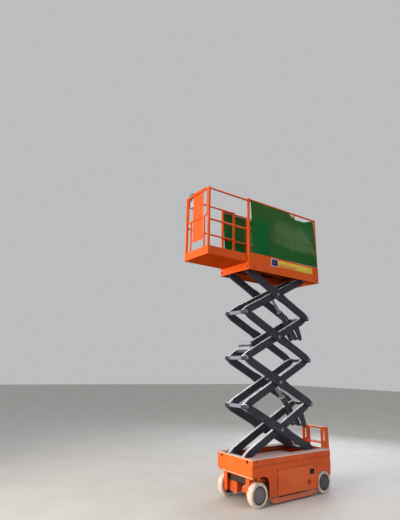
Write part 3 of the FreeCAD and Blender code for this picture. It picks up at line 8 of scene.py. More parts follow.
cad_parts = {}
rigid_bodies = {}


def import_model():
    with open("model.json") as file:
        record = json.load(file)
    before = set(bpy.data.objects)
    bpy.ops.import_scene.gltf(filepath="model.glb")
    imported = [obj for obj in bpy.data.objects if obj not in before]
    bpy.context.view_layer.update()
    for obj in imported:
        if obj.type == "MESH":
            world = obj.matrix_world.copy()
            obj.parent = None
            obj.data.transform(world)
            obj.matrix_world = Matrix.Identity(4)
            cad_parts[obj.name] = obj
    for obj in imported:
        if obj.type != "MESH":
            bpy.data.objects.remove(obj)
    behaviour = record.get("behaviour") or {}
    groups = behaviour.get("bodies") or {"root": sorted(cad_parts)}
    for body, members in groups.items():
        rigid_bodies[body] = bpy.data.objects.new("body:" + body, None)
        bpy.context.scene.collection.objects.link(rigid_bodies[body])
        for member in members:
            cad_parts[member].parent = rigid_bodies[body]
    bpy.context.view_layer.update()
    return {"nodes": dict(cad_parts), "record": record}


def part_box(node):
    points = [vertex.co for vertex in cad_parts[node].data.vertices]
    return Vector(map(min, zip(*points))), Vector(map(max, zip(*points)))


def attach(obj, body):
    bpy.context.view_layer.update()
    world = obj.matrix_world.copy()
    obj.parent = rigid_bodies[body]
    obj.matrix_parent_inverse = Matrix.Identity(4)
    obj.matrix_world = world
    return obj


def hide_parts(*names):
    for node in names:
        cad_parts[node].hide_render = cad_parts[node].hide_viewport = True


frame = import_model()

NODES = frame["nodes"]
BODY_OF = {node: body for body, nodes in frame["record"]["behaviour"]["bodies"].items()
           for node in nodes}
JOINTS = {joint["name"]: joint for joint in frame["record"]["behaviour"]["joints"]}
Y_AXIS = Vector((0, 1, 0))
# Millimetres in a metre: the size of a pattern is given in millimetres
METRE = 1000


# Camera and light

# The camera as fitted to the photograph, in pixels, millimetres of film, radians and metres
FOCAL_PIXELS = 400.84
PICTURE_HEIGHT = 520
SENSOR = 36
YAW = math.radians(-125.074)
PITCH = math.radians(15.207)
ROLL = math.radians(1.334)
CAMERA_PLACE = Vector((4.9604, 5.1709, 1.9251))

# Name, place, point it looks at, width in metres, power in watts, degrees it spreads, colour
LAMPS = [
    ("KeyLight", (8.5, -0.8, 3.3), (0.2, 0, 2.2), 4.5, 232, 95, "#FFFAE9"),
    ("SideLight", (2.5, 8.0, 4.0), (0, 0, 2.4), 5.0, 95, 180, "#EAF0FF"),
    ("TopLight", (-0.5, 0.5, 9.0), (-0.3, 0, 0), 4.0, 240, 180, "#F4F7FF"),
    ("BackLight", (-6.0, -3.0, 4.0), (0, 0, 2.5), 3.5, 170, 180, "#E8F0FF"),
]
# The surround's brightness on its lit side and on its shaded side
SKY_LIT = 0.62
SKY_SHADED = 0.34
# Where it goes from one to the other, as how far the way out points along y
SKY_TURN = (-0.3, 0.7)


def camera():
    """The photograph's own view."""
    ahead = Vector((math.cos(YAW) * math.cos(PITCH), math.sin(YAW) * math.cos(PITCH),
                    math.sin(PITCH)))
    level = Vector((math.sin(YAW), -math.cos(YAW), 0))
    upright = level.cross(ahead)
    right = level * math.cos(ROLL) + upright * math.sin(ROLL)
    up = upright * math.cos(ROLL) - level * math.sin(ROLL)
    data = bpy.data.cameras.new("Camera")
    data.lens = SENSOR * FOCAL_PIXELS / PICTURE_HEIGHT
    data.sensor_width = SENSOR
    data.sensor_fit = "AUTO"
    item = bpy.data.objects.new("Camera", data)
    item.matrix_world = Matrix((
        (right.x, up.x, -ahead.x, CAMERA_PLACE.x),
        (right.y, up.y, -ahead.y, CAMERA_PLACE.y),
        (right.z, up.z, -ahead.z, CAMERA_PLACE.z),
        (0, 0, 0, 1),
    ))
    bpy.context.scene.collection.objects.link(item)
    bpy.context.scene.camera = item


def linear(text):
    """A colour written as sRGB hex, as the linear numbers that the light is worked out with."""
    parts = [int(text[place:place + 2], 16) / 255 for place in (1, 3, 5)]
    return tuple([part / 12.92 if part < 0.04045 else ((part + 0.055) / 1.055) ** 2.4
                  for part in parts] + [1.0])


def add_node(tree, kind, sockets=None, **settings):
    """One node, with its settings, and its sockets' links, hex colours and other values."""
    item = tree.nodes.new(kind)
    for name, value in settings.items():
        setattr(item, name, value)
    for key, value in (sockets or {}).items():
        if isinstance(value, bpy.types.NodeSocket):
            tree.links.new(value, item.inputs[key])
        elif isinstance(value, str) and value.startswith("#"):
            item.inputs[key].default_value = linear(value)
        else:
            item.inputs[key].default_value = value
    return item


def lights():
    """Soft lamps round the lift."""
    for name, place, target, width, power, spread, tint in LAMPS:
        data = bpy.data.lights.new(name, "AREA")
        data.size = width
        data.spread = math.radians(spread)
        data.energy = power
        data.color = linear(tint)[:3]
        item = bpy.data.objects.new(name, data)
        item.location = place
        item.rotation_euler = (Vector(target) - Vector(place)).to_track_quat("-Z", "Y").to_euler()
        bpy.context.scene.collection.objects.link(item)


def surround():
    """A pale surround, dimmer on the side that lies in shade in the photo."""
    world = bpy.data.worlds.new("Studio")
    world.use_nodes = True
    tree = world.node_tree
    way = add_node(tree, "ShaderNodeTexCoord").outputs["Generated"]
    across = add_node(tree, "ShaderNodeSeparateXYZ", {0: way}).outputs[1]
    level = add_node(tree, "ShaderNodeMapRange",
                     {"Value": across, "From Min": SKY_TURN[0], "From Max": SKY_TURN[1],
                      "To Min": SKY_LIT, "To Max": SKY_SHADED},
                     interpolation_type="SMOOTHSTEP").outputs[0]
    sky = tree.nodes["Background"]
    sky.inputs["Color"].default_value = linear("#E9EAEC")
    tree.links.new(level, sky.inputs["Strength"])
    bpy.context.scene.world = world
    bpy.context.scene.view_settings.view_transform = "Standard"


# Materials

# Patterns of cloudy spots. Columns: name, size in millimetres, detail, and how much closer it is
# along x, y and z. The finest are coarser than the real ones, so that they show at all.
EVEN = (1.0, 1.0, 1.0)
# How strong each finer layer of spots is, beside the one before it
FINE_SHARE = 0.55
ENAMEL_PATTERNS = [
    ("shade", 454.5, 4.0, EVEN),
    ("clouds", 111.1, 5.0, EVEN),
    ("streaks", 62.5, 4.0, (1.0, 1.0, 0.12)),
    ("grime", 200, 5.0, EVEN),
    ("scratches", 14.286, 2.0, (1.0, 1.0, 7.0)),
    ("dust", 142.86, 6.0, EVEN),
    ("chips", 22.22, 5.0, EVEN),
    ("rubbing", 41.67, 4.0, EVEN),
    ("peel", 2.381, 2.0, EVEN),
]
METAL_PATTERNS = [
    ("grain", 3.3333, 3.0, (1.0, 1.0, 0.05)),
    ("shade", 33.333, 4.0, EVEN),
]
RUBBER_PATTERNS = [
    ("stain", 76.92, 6.0, EVEN),
    ("scuffs", 26.316, 4.0, EVEN),
    ("grit", 2.0, 3.0, EVEN),
    ("waves", 16.667, 3.0, EVEN),
]
PLASTIC_PATTERNS = [
    ("shade", 40, 4.0, EVEN),
    ("grit", 1.1111, 2.0, EVEN),
]
NET_PATTERNS = [
    ("wander", 400, 3.0, EVEN),
    ("fading", 142.86, 5.0, (1.0, 1.0, 0.3)),
]
SIGN_PATTERNS = [
    ("fading", 33.333, 5.0, EVEN),
    ("grit", 2.0, 2.0, EVEN),
]
FLOOR_PATTERNS = [
    ("shade", 833.33, 4.0, EVEN),
]


class Surface:
    """A material, the places that its patterns read, and the means to lay colours on it."""

    def __init__(self, name, patterns, roughness, metallic=0.0):
        self.material = bpy.data.materials.new(name)
        self.material.use_nodes = True
        self.tree = self.material.node_tree
        self.shader = self.tree.nodes["Principled BSDF"]
        self.shader.inputs["Roughness"].default_value = roughness
        self.shader.inputs["Metallic"].default_value = metallic
        reads = self.add("TexCoord").outputs
        self.place = reads["Object"]
        self.axes = self.add("SeparateXYZ", {0: self.place}).outputs
        self.along = self.axes[0]
        self.height = self.axes[2]
        self.upward = self.add("SeparateXYZ", {0: reads["Normal"]}).outputs[2]
        self.pattern = {}
        for title, size, detail, closer in patterns:
            drawn = self.add("Mapping", {"Vector": self.place, "Scale": closer}).outputs[0]
            self.pattern[title] = self.add(
                "TexNoise", {"Vector": drawn, "Scale": METRE / size, "Detail": detail,
                             "Roughness": FINE_SHARE}).outputs["Fac"]

    def add(self, kind, sockets=None, **settings):
        """One node in the material."""
        return add_node(self.tree, "ShaderNode" + kind, sockets, **settings)

    def beside(self, axis):
        """The distance from the middle plane of an axis."""
        return self.add("Math", {0: self.axes[axis]}, operation="ABSOLUTE").outputs[0]

    def amount(self, *limits, share=1.0):
        """How far a thing shows at a point: the product of the share and of all the limits.

        A limit is a socket, or a row of a value, the value where it is 0, the value where it is
        1 and, where they aren't 0 and 1, its two results.
        """
        total = share
        for limit in limits:
            if not isinstance(limit, bpy.types.NodeSocket):
                value, low, high, *results = limit
                start, end = results or (0.0, 1.0)
                limit = self.add("MapRange", {"Value": value, "From Min": low, "From Max": high,
                                              "To Min": start, "To Max": end},
                                 interpolation_type="SMOOTHSTEP").outputs[0]
            total = self.add("Math", {0: total, 1: limit}, operation="MULTIPLY").outputs[0]
        return total

    def coat(self, under, over, *limits, share=1.0):
        """A colour laid over another, as far as the limits and the share say."""
        where = self.amount(*limits, share=share)
        return self.add("Mix", {0: where, 6: under, 7: over}, data_type="RGBA").outputs[2]

    def rounded_edges(self, radius):
        """A limit that is 1 at a sharp edge, and the normal of the edge as if it were rounded."""
        bent = self.add("Bevel", {"Radius": radius}, samples=4).outputs[0]
        flat = self.add("NewGeometry").outputs["Normal"]
        same = self.add("VectorMath", {0: bent, 1: flat},
                        operation="DOT_PRODUCT").outputs["Value"]
        return (same, 0.99, 0.88), bent

    def finish(self, colour, roughness=None):
        """The material, with its colour and, where it varies, its roughness."""
        self.tree.links.new(colour, self.shader.inputs["Base Color"])
        if roughness is not None:
            self.tree.links.new(roughness, self.shader.inputs["Roughness"])
        return self.material

    def bump(self, height, strength, depth, bent=None):
        """Raise the surface by a pattern, over the rounded edges where they are given."""
        sockets = {"Height": height, "Strength": strength, "Distance": depth}
        if bent is not None:
            sockets["Normal"] = bent
        self.tree.links.new(self.add("Bump", sockets).outputs[0], self.shader.inputs["Normal"])


# The length of a bar of the decks' chequer plate, in millimetres
TREAD_BAR = 25


def between(value, low, high, soft=0.002):
    """Two limits that are 1 where a value lies between two others."""
    return (value, low - soft, low + soft), (value, high + soft, high - soft)


def paint(name, base, deep, worn, dust, dust_and_highlight_share, wear, gloss, edge=0.0025, even_wear=0.0,
          low_dirt=0.35, grime=0.5, soot="#170E0B", marks=None, tread=False):
    """Enamel on steel: uneven colour, dust and a painted highlight on what faces up, dirt low down,
    painted shade on what faces down, worn edges.
    """
    surface = Surface(name, ENAMEL_PATTERNS, gloss)
    pattern = surface.pattern
    cloudy = surface.amount((pattern["clouds"], 0.45, 0.72, 0.0, 0.07))
    dust_and_highlight_mask = surface.amount((surface.upward, 0.45, 0.95),
                             (pattern["dust"], 0.25, 0.6, dust_and_highlight_share * 0.55, dust_and_highlight_share))
    near_edge, bent = surface.rounded_edges(edge)
    bent_up = surface.add("SeparateXYZ", {0: bent}).outputs[2]
    colour = surface.coat(base, deep, (pattern["shade"], 0.35, 0.7))
    colour = surface.coat(colour, worn, cloudy)
    colour = surface.coat(colour, "#8F6A50", (surface.height, 0.55, 0.05),
                          (pattern["streaks"], 0.38, 0.68, 0.1, 1.0), share=low_dirt)
    # Painted shade on what faces down, in the finish's shade colour, broken up by a pattern
    colour = surface.coat(colour, soot, (surface.upward, -0.45, -0.95),
                          (pattern["grime"], 0.25, 0.7, grime, grime * 0.8))
    colour = surface.coat(colour, worn, (pattern["scratches"], 0.70, 0.76, 0.0, 0.3))
    # Dust on what faces up, pale enough on the arms to be a painted highlight as well
    colour = surface.coat(colour, dust, dust_and_highlight_mask)
    colour = surface.coat(colour, worn, near_edge, (bent_up, -0.2, 0.2, 0.15, 1.0),
                          (pattern["chips"], 0.4, 0.62, even_wear, 1.0), share=wear)
    if marks is not None:
        colour = marks(surface, colour)
    sheen = surface.amount((surface.upward, -0.45, -0.95, 0.3, 0.0))
    surface.tree.links.new(sheen, surface.shader.inputs["Specular IOR Level"])
    rough = surface.add("Math", {0: cloudy, 1: 0.5, 2: gloss},
                        operation="MULTIPLY_ADD").outputs[0]
    rough = surface.add("Math", {0: dust_and_highlight_mask, 1: 0.45, 2: rough}, operation="MULTIPLY_ADD",
                        use_clamp=True).outputs[0]
    if tread:
        bars = tread_bars(surface)
        surface.bump(surface.amount(bars, (surface.upward, 0.9, 0.99)), 0.5, 0.0015, bent)
    else:
        surface.bump(pattern["peel"], 0.06, 0.0006, bent)
    return surface.finish(colour, rough)


def tread_bars(surface):
    """Raised bars of chequer plate, set at 45 degrees. A brick is half a unit long."""
    turned = surface.add("Mapping", {"Vector": surface.place,
                                     "Rotation": (0, 0, math.radians(45))}).outputs[0]
    return surface.add("TexBrick", {"Vector": turned, "Scale": METRE / TREAD_BAR / 2,
                                    "Mortar Size": 0.035}).outputs["Fac"]


# Where the scissor's paler pieces lie, as distances from the middle plane, in metres: inside the
# inner arms, from the inner arms' outside to the end of the gap, and past the outer arms
INNER_ARMS_INSIDE = 0.1450
INNER_ARMS_OUTSIDE = 0.1954
OUTER_ARMS_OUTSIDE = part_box("level_2_outer_arms")[1][1]
ARM_GAP_END = OUTER_ARMS_OUTSIDE - 0.05
# The cross tubes in front of this x are the pale ones
PALE_TUBES_X = 0.500


def pale_tubes(surface, colour):
    """Front cross tubes, spacers and pin heads of the scissor, in a paler grey than the arms."""
    out = surface.beside(1)
    tube = ((out, INNER_ARMS_INSIDE + 0.0005, INNER_ARMS_INSIDE - 0.0005),
            (surface.along, PALE_TUBES_X - 0.004, PALE_TUBES_X + 0.004))
    spacer = ((out, INNER_ARMS_OUTSIDE - 0.0003, INNER_ARMS_OUTSIDE + 0.0003),
              (out, ARM_GAP_END, ARM_GAP_END - 0.0006))
    head = ((out, OUTER_ARMS_OUTSIDE + 0.0003, OUTER_ARMS_OUTSIDE + 0.001),)
    for limits in (tube, spacer, head):
        colour = surface.coat(colour, "#8C8DA0", *limits, share=0.9)
    return colour


# How far the pale rim, of wear and painted highlight, reaches in from the edge and down from the
# top, and fades, in metres
RIM_IN = 0.012
RIM_DOWN = 0.011
RIM_FADE = 0.004


def rim_wear_and_highlight(surface, colour, node, axis):
    """A pale line along the outer upper edge of a folded sheet, partly wear and partly a painted
    highlight on the rounded edge.
    """
    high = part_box(node)[1]
    inner = high[axis] - RIM_IN
    foot = high[2] - RIM_DOWN
    return surface.coat(colour, "#F6E6DA", (surface.beside(axis), inner, inner + RIM_FADE),
                        (surface.height, foot, foot + RIM_FADE),
                        (surface.pattern["rubbing"], 0.3, 0.6, 0.55, 1.0))


def front_rim(surface, colour):
    """The front plate's upper edge."""
    return rim_wear_and_highlight(surface, colour, "front_plate", 0)


def cover_rim(surface, colour):
    """The deck covers' side edges."""
    return rim_wear_and_highlight(surface, colour, "deck_covers", 1)


# Marks on the body, in metres: the painted shade of the seam under the covers' flange, of the space
# behind the front plate and of the wheel arches, the painted highlight on the bar under the nose,
# and the painted shade in the scissor's channel
SEAM_HEIGHTS = (0.555, 0.568)
SKIN_HALF = 0.398
HOLLOW_X = (0.200, 0.572)
HOLLOW_FOOT = 0.430
HOLLOW_HALF = 0.370
ARCH_X = (0.100, 0.345)
ARCH_TOP = 0.450
NOSE_X = 0.568
NOSE_HEIGHTS = (0.399, 0.416)
CHANNEL_HALF = 0.315
CHANNEL_FOOT = 0.420


def body_marks(surface, colour):
    """Painted shade under the covers' flange, behind the front, in the wheel arches and on the
    channel's walls, and a painted highlight on the nose bar.
    """
    out = surface.beside(1)
    height = surface.height
    # Painted shade in the gap under the covers' flange
    colour = surface.coat(colour, "#7A2E16", *between(height, *SEAM_HEIGHTS, soft=0.003),
                          (out, SKIN_HALF - 0.002, SKIN_HALF), share=0.5)
    # Painted shade behind the front plate and in the wheel arches
    hollow = surface.amount(*between(surface.along, *HOLLOW_X),
                            (height, HOLLOW_FOOT, HOLLOW_FOOT + 0.03),
                            (out, HOLLOW_HALF + 0.01, HOLLOW_HALF))
    arch = surface.amount(*between(surface.along, *ARCH_X),
                          (height, ARCH_TOP, ARCH_TOP - 0.02),
                          (out, SKIN_HALF, SKIN_HALF - 0.006))
    dark = surface.add("Math", {0: hollow, 1: arch}, operation="MAXIMUM").outputs[0]
    colour = surface.coat(colour, "#1E100B", dark, share=0.8)
    # A painted highlight along the top of the nose bar
    colour = surface.coat(colour, "#F9BE9A", (surface.along, NOSE_X - 0.002, NOSE_X),
                          *between(height, *NOSE_HEIGHTS), share=0.8)
    # Painted shade on the side walls of the scissor's channel
    return surface.coat(colour, "#6E2308", (surface.upward, 0.7, 0.3),
                        (out, CHANNEL_HALF + 0.005, CHANNEL_HALF),
                        (height, CHANNEL_FOOT, CHANNEL_FOOT + 0.02), share=0.6)


# The cross beam's bands of painted shade, in metres over the front pin of its level
UPPER_BAND = (0.188, 0.222)
LOWER_BAND_TOP = 0.139


def beam_bands(surface, colour):
    """Two bands of painted shade on the cross beam, where it is folded back."""
    pin = JOINTS["level_3_front"]["pos_m"][2]
    upper = between(surface.height, pin + UPPER_BAND[0], pin + UPPER_BAND[1])
    lower = ((surface.height, pin + LOWER_BAND_TOP, pin + LOWER_BAND_TOP - 0.004),)
    for limits in (upper, lower):
        colour = surface.coat(colour, "#2E2C3A", *limits, share=0.85)
    return colour


def plain_steel(name, base, deep, gloss, metallic):
    """Bare or ground metal with fine marks along it."""
    surface = Surface(name, METAL_PATTERNS, gloss, metallic)
    grain = surface.pattern["grain"]
    bent = surface.rounded_edges(0.001)[1]
    surface.bump(grain, 0.05, 0.0005, bent)
    return surface.finish(surface.coat(base, deep, (surface.pattern["shade"], 0.4, 0.7)),
                          surface.amount((grain, 0.2, 0.8, gloss * 0.8, gloss * 1.3)))


def rubber(name):
    """Pale non-marking rubber, stained on the tread and scuffed on the sides."""
    surface = Surface(name, RUBBER_PATTERNS, 0.78)
    pattern = surface.pattern
    colour = surface.coat("#F1DAC6", "#CFB5A6", (pattern["stain"], 0.42, 0.68))
    colour = surface.coat(colour, "#8F8072", (pattern["scuffs"], 0.56, 0.72, 0.0, 0.4))
    rough = surface.add("Math", {0: pattern["grit"], 1: 0.4, 2: pattern["waves"]},
                        operation="MULTIPLY_ADD").outputs[0]
    surface.bump(rough, 0.35, 0.0012)
    return surface.finish(colour)


def plastic(name, base, deep, gloss):
    """Moulded plastic with a fine grit, rubbed paler on its edges."""
    surface = Surface(name, PLASTIC_PATTERNS, gloss)
    near_edge, bent = surface.rounded_edges(0.0015)
    colour = surface.coat(base, deep, (surface.pattern["shade"], 0.4, 0.7))
    colour = surface.coat(colour, "#8C8A86", near_edge, share=0.25)
    surface.bump(surface.pattern["grit"], 0.15, 0.0004, bent)
    return surface.finish(colour)


# Thread spacing of the net, in millimetres: coarser than the real one, so that it shows
THREAD_SPACING = 3.307
# The wave texture turns this far for each unit of its place
WAVE_RADIANS = 20
# Where the net's shades start and end, as x, as z or as z less x, in metres
SINGLE_X = (0.20, 0.02)
SINGLE_FOOT = (4.16, 4.22)
SINGLE_TOP = (4.78, 4.50)
HEM_TOP = (4.20, 4.14)
FRONT_X = (0.20, 0.27)
FRONT_TOP = (4.70, 4.45)
CORNER_LINE = (5.28, 5.31)


def netting(name):
    """Close-woven green net, all but opaque, paler where it is single and far from its edges."""
    surface = Surface(name, NET_PATTERNS, 0.85)
    surface.shader.inputs["Specular IOR Level"].default_value = 0.2
    closeness = METRE / THREAD_SPACING * 2 * math.pi / WAVE_RADIANS
    threads = [surface.add("TexWave", {"Vector": surface.place, "Scale": closeness,
                                       "Distortion": 0.4, "Detail": 1.0},
                           bands_direction=way).outputs["Fac"] for way in ("X", "Z")]
    cloth = surface.amount(*threads)
    along, height = [surface.add("Math", {0: surface.pattern["wander"], 1: 0.22, 2: place},
                                 operation="MULTIPLY_ADD").outputs[0]
                     for place in (surface.along, surface.height)]
    diagonal = surface.add("Math", {0: surface.height, 1: surface.along},
                           operation="SUBTRACT").outputs[0]
    single = surface.amount((along, *SINGLE_X), (height, *SINGLE_FOOT), (height, *SINGLE_TOP))
    colour = surface.coat("#4A8241", "#69995A", single)
    colour = surface.coat(colour, "#3D8645", (height, *HEM_TOP))
    colour = surface.coat(colour, "#218C47", (along, *FRONT_X), (height, *FRONT_TOP))
    colour = surface.coat(colour, "#37844A", (diagonal, *CORNER_LINE))
    colour = surface.coat(colour, "#6E9A6C", (surface.pattern["fading"], 0.55, 0.8, 0.0, 0.2))
    colour = surface.coat(colour, "#123F1C", cloth, share=0.25)
    alpha = surface.add("Math", {0: single, 1: -0.035, 2: 1.0}, operation="MULTIPLY_ADD").outputs[0]
    surface.tree.links.new(alpha, surface.shader.inputs["Alpha"])
    surface.bump(cloth, 0.25, 0.0008)
    return surface.finish(colour)


def striped(name, first, second, pitch):
    """Two flat colours in bands along x, on a sign that carries no words."""
    surface = Surface(name, SIGN_PATTERNS, 0.38)
    bands = surface.add("Math", {0: surface.along, 1: pitch}, operation="DIVIDE").outputs[0]
    part = surface.add("Math", {0: bands}, operation="FRACT").outputs[0]
    later = surface.add("Math", {0: part, 1: 0.5}, operation="GREATER_THAN").outputs[0]
    colour = surface.coat(first, second, later)
    colour = surface.coat(colour, "#C9BFA8", (surface.pattern["fading"], 0.5, 0.75, 0.0, 0.35))
    surface.bump(surface.pattern["grit"], 0.04, 0.0003)
    return surface.finish(colour)


# Finishes by short name. Columns: function, its values in order, and its other settings. The
# values of paint are the material's name, base, deep and worn colours, the colour of the dust and
# painted highlight on what faces up, its share, wear and gloss.
FINISHES = {
    # Sprayed enamel on sheet steel: an even orange with a soft shine
    "orange": (paint, ("OrangeEnamel", "#EE5F12", "#E2520F", "#F49A6A", "#D9C6B0", 0.62, 0.6,
                       0.38), {}),
    # The chassis skin: the same coat, dusty on top, with painted shade in its arches and its
    # channel
    "body": (paint, ("BodyOrangeEnamel", "#EE5F12", "#E2520F", "#F49A6A", "#A39A9C", 0.9, 0.6,
                     0.38), {"marks": body_marks}),
    # The main deck: chequer plate on top, and painted shade that makes its underside almost black
    "deck": (paint, ("DeckOrangeEnamel", "#EE5F12", "#E2520F", "#F49A6A", "#B89C86", 0.8, 0.6,
                     0.38), {"grime": 1.0, "tread": True, "soot": "#0E0806"}),
    # The extension deck: the same plate, with painted shade in deep orange on its underside
    "extension": (paint, ("ExtensionOrangeEnamel", "#EE5F12", "#E2520F", "#F49A6A", "#B89C86",
                          0.8, 0.6, 0.38), {"grime": 1.0, "tread": True, "soot": "#AE3A0B"}),
    # The side doors: newer paint, paler and cleaner than the skin
    "door": (paint, ("DoorOrangeEnamel", "#F66E2A", "#EE6220", "#F8AA80", "#D9C6B0", 0.62, 0.6,
                     0.38), {"low_dirt": 0.1}),
    # The pothole guards: faded by splashes to a pale, dull orange
    "guard": (paint, ("GuardOrangeEnamel", "#F6865A", "#EE7A4E", "#F6B494", "#C9B29E", 0.6, 0.6,
                      0.45), {"low_dirt": 0.3}),
    # The front plate: the orange painted brighter and yellower for the light on its face, with a
    # pale upper edge of wear and painted highlight
    "front": (paint, ("FrontOrangeEnamel", "#F06A1A", "#E85E16", "#F6A878", "#D9C6B0", 0.62, 0.6,
                      0.38), {"marks": front_rim}),
    # The deck covers: paint trodden down to grey dust, with pale edges that are partly rubbed and
    # partly a painted highlight
    "cover": (paint, ("DustyOrangeSteel", "#EE5F12", "#DC5014", "#FFEBDA", "#A79FA4", 0.95, 1.0,
                      0.42), {"edge": 0.006, "even_wear": 0.7, "marks": cover_rim}),
    # The scissor arms: dark slate enamel on tube, almost white where it faces up, with dust and a
    # painted highlight
    "arm": (paint, ("SlateEnamel", "#3C3D47", "#34353F", "#8B8C96", "#F3F4FD", 0.95, 0.55, 0.42),
            {"edge": 0.004, "low_dirt": 0.1, "grime": 0.4, "marks": pale_tubes}),
    # Axles and tie rod: oily, near black paint
    "axle": (paint, ("DarkAxleEnamel", "#3A2F2A", "#2B2523", "#7A6558", "#A28F7E", 0.6, 0.5,
                     0.55), {}),
    # Front wheels' discs: a warm grey powder coat with a dull face
    "disc": (paint, ("GreyPowderCoat", "#837C86", "#767079", "#A29EA4", "#B5AA9E", 0.3, 0.5, 0.5),
             {"edge": 0.002, "low_dirt": 0.3}),
    # Rear wheels' discs: the discs' coat painted colder and darker as shade
    "slate": (paint, ("SlatePowderCoat", "#465763", "#3D4D57", "#7A8084", "#968E85", 0.3, 0.5,
                      0.5), {"edge": 0.002, "low_dirt": 0.3}),
    # The control box: pale grey enamel, slightly blue
    "control": (paint, ("GreyBlueBox", "#C3C8CE", "#AEB4BB", "#8C9198", "#B9B2A8", 0.3, 0.4,
                        0.45), {"edge": 0.003, "low_dirt": 0.0, "grime": 0.2}),
    # The cross beam: pale grey enamel with two bands in shade
    "beam": (paint, ("GreyBeamEnamel", "#A9A8B6", "#9A99A8", "#C8C6CE", "#C9CAD2", 0.6, 0.4,
                     0.45), {"marks": beam_bands}),
    # Cylinder rods: hard chrome, ground, with a sharp shine
    "chrome": (plain_steel, ("GroundChrome", "#9A9CA2", "#84868D", 0.2, 1.0), {}),
    # Bolts and the hook: zinc plate, a duller and warmer metal
    "zinc": (plain_steel, ("ZincPlatedSteel", "#B9B8B2", "#8F8D86", 0.38, 0.9), {}),
    # Pin caps: grey primer, hardly metallic
    "pale": (plain_steel, ("GreyPrimedSteel", "#B4B6C2", "#8C8F9C", 0.45, 0.25), {}),
    # Tyres: pale solid rubber, cream with brown stains
    "rubber": (rubber, ("PaleRubber",), {}),
    # Latches, seals and knobs: black moulded plastic with a dull shine
    "black": (plastic, ("BlackPlastic", "#1B1C1F", "#242529", 0.5), {}),
    # Stop buttons: glossy signal red plastic
    "red": (plastic, ("RedPlastic", "#B4161A", "#96131A", 0.3), {}),
    # The console: mid blue plastic
    "blue": (plastic, ("BluePlastic", "#4D86B8", "#3C739F", 0.4), {}),
    # Debris net: woven polyethylene, matt green
    "net": (netting, ("GreenNetting",), {}),
    # Printed film on the signs, each in its own plain colour or two
    "navy": (striped, ("NavySign", "#1B2266", "#151B4E", 0.33), {}),
    "white": (striped, ("WhiteSign", "#EDEBEA", "#E4E2E4", 0.33), {}),
    "yellow": (striped, ("YellowSign", "#F5D43C", "#EECA2C", 0.9), {}),
    "amber": (striped, ("OrangeSign", "#EE8A2E", "#F2A23C", 0.05), {}),
}
# Finishes made so far, by short name
made = {}


def finish_of(name):
    """The material of that short name, made once."""
    if name not in made:
        make, values, settings = FINISHES[name]
        made[name] = make(*values, **settings)
    return made[name]


# Mesh building

# Faces that meet at more than this angle keep a sharp edge
SHARP_ANGLE = math.radians(34)
# Points closer than this are one, in metres
SAME_POINT = 1e-6


def link_object(name, mesh):
    """An object at the origin, in the scene."""
    item = bpy.data.objects.new(name, mesh)
    bpy.context.scene.collection.objects.link(item)
    return item


def place_piece(item, body, smooth=True):
    """Shade a piece, and hand it over with its body."""
    if smooth:
        item.data.shade_smooth()
        item.data.set_sharp_from_angle(angle=SHARP_ANGLE)
    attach(item, body)
    return item


def mesh_of(name, shape, finish):
    """The finished mesh of a shape, with its faces turned outwards and its material."""
    bmesh.ops.recalc_face_normals(shape, faces=shape.faces)
    mesh = bpy.data.meshes.new(name)
    shape.to_mesh(mesh)
    shape.free()
    mesh.materials.append(finish_of(finish))
    return mesh


def from_bmesh(name, shape, finish, body, smooth=True):
    """A piece made of a shape, riding on a body."""
    return place_piece(link_object(name, mesh_of(name, shape, finish)), body, smooth)


def turn_to(axis):
    """The turn that brings Z to an axis."""
    return Vector(axis).normalized().to_track_quat("Z", "Y")


def lathe(shape, profile, centre, axis, steps):
    """A turned form: points of radius and height, closed on the axis where the radius is 0."""
    place = Matrix.Translation(centre) @ turn_to(axis).to_matrix().to_4x4()
    rows = []
    for radius, height in profile:
        if radius < SAME_POINT:
            rows.append([shape.verts.new(place @ Vector((0, 0, height)))])
            continue
        rows.append([shape.verts.new(place @ Vector((
            radius * math.cos(2 * math.pi * step / steps),
            radius * math.sin(2 * math.pi * step / steps), height))) for step in range(steps)])
    for low, high in zip(rows, rows[1:]):
        for step in range(steps):
            after = (step + 1) % steps
            if len(low) == 1 and len(high) == 1:
                continue
            if len(low) == 1:
                shape.faces.new((low[0], high[step], high[after]))
            elif len(high) == 1:
                shape.faces.new((low[step], low[after], high[0]))
            else:
                shape.faces.new((low[step], low[after], high[after], high[step]))


def ring_of(shape, profile, centre, axis, steps):
    """A turned form whose outline is closed, such as a tyre."""
    lathe(shape, list(profile) + [profile[0]], centre, axis, steps)
    bmesh.ops.remove_doubles(shape, verts=shape.verts, dist=SAME_POINT)


# A bolt head and its washer as radius and height, where 1 is the head's radius and its height
HEAD = [(0.95, 0.1), (1.0, 0.2), (1.0, 0.85), (0.84, 1.0)]
WASHER = [(0, 0), (1.35, 0), (1.35, 0.2), (0, 0.2)]
CORNERS = 6


def unit_turned(profile, steps):
    """A turned form that stands on the frame's middle."""
    shape = bmesh.new()
    lathe(shape, profile, Vector((0, 0, 0)), (0, 0, 1), steps)
    return shape


def unit_bolt():
    """A chamfered hexagon head on its washer."""
    shape = unit_turned(WASHER, 20)
    turns = [2 * math.pi * corner / CORNERS for corner in range(CORNERS)]
    rows = [[shape.verts.new((radius * math.cos(turn), radius * math.sin(turn), height))
             for turn in turns] for radius, height in HEAD]
    for low, high in zip(rows, rows[1:]):
        for corner in range(CORNERS):
            after = (corner + 1) % CORNERS
            shape.faces.new((low[corner], low[after], high[after], high[corner]))
    shape.faces.new(rows[0][::-1])
    shape.faces.new(rows[-1])
    return shape


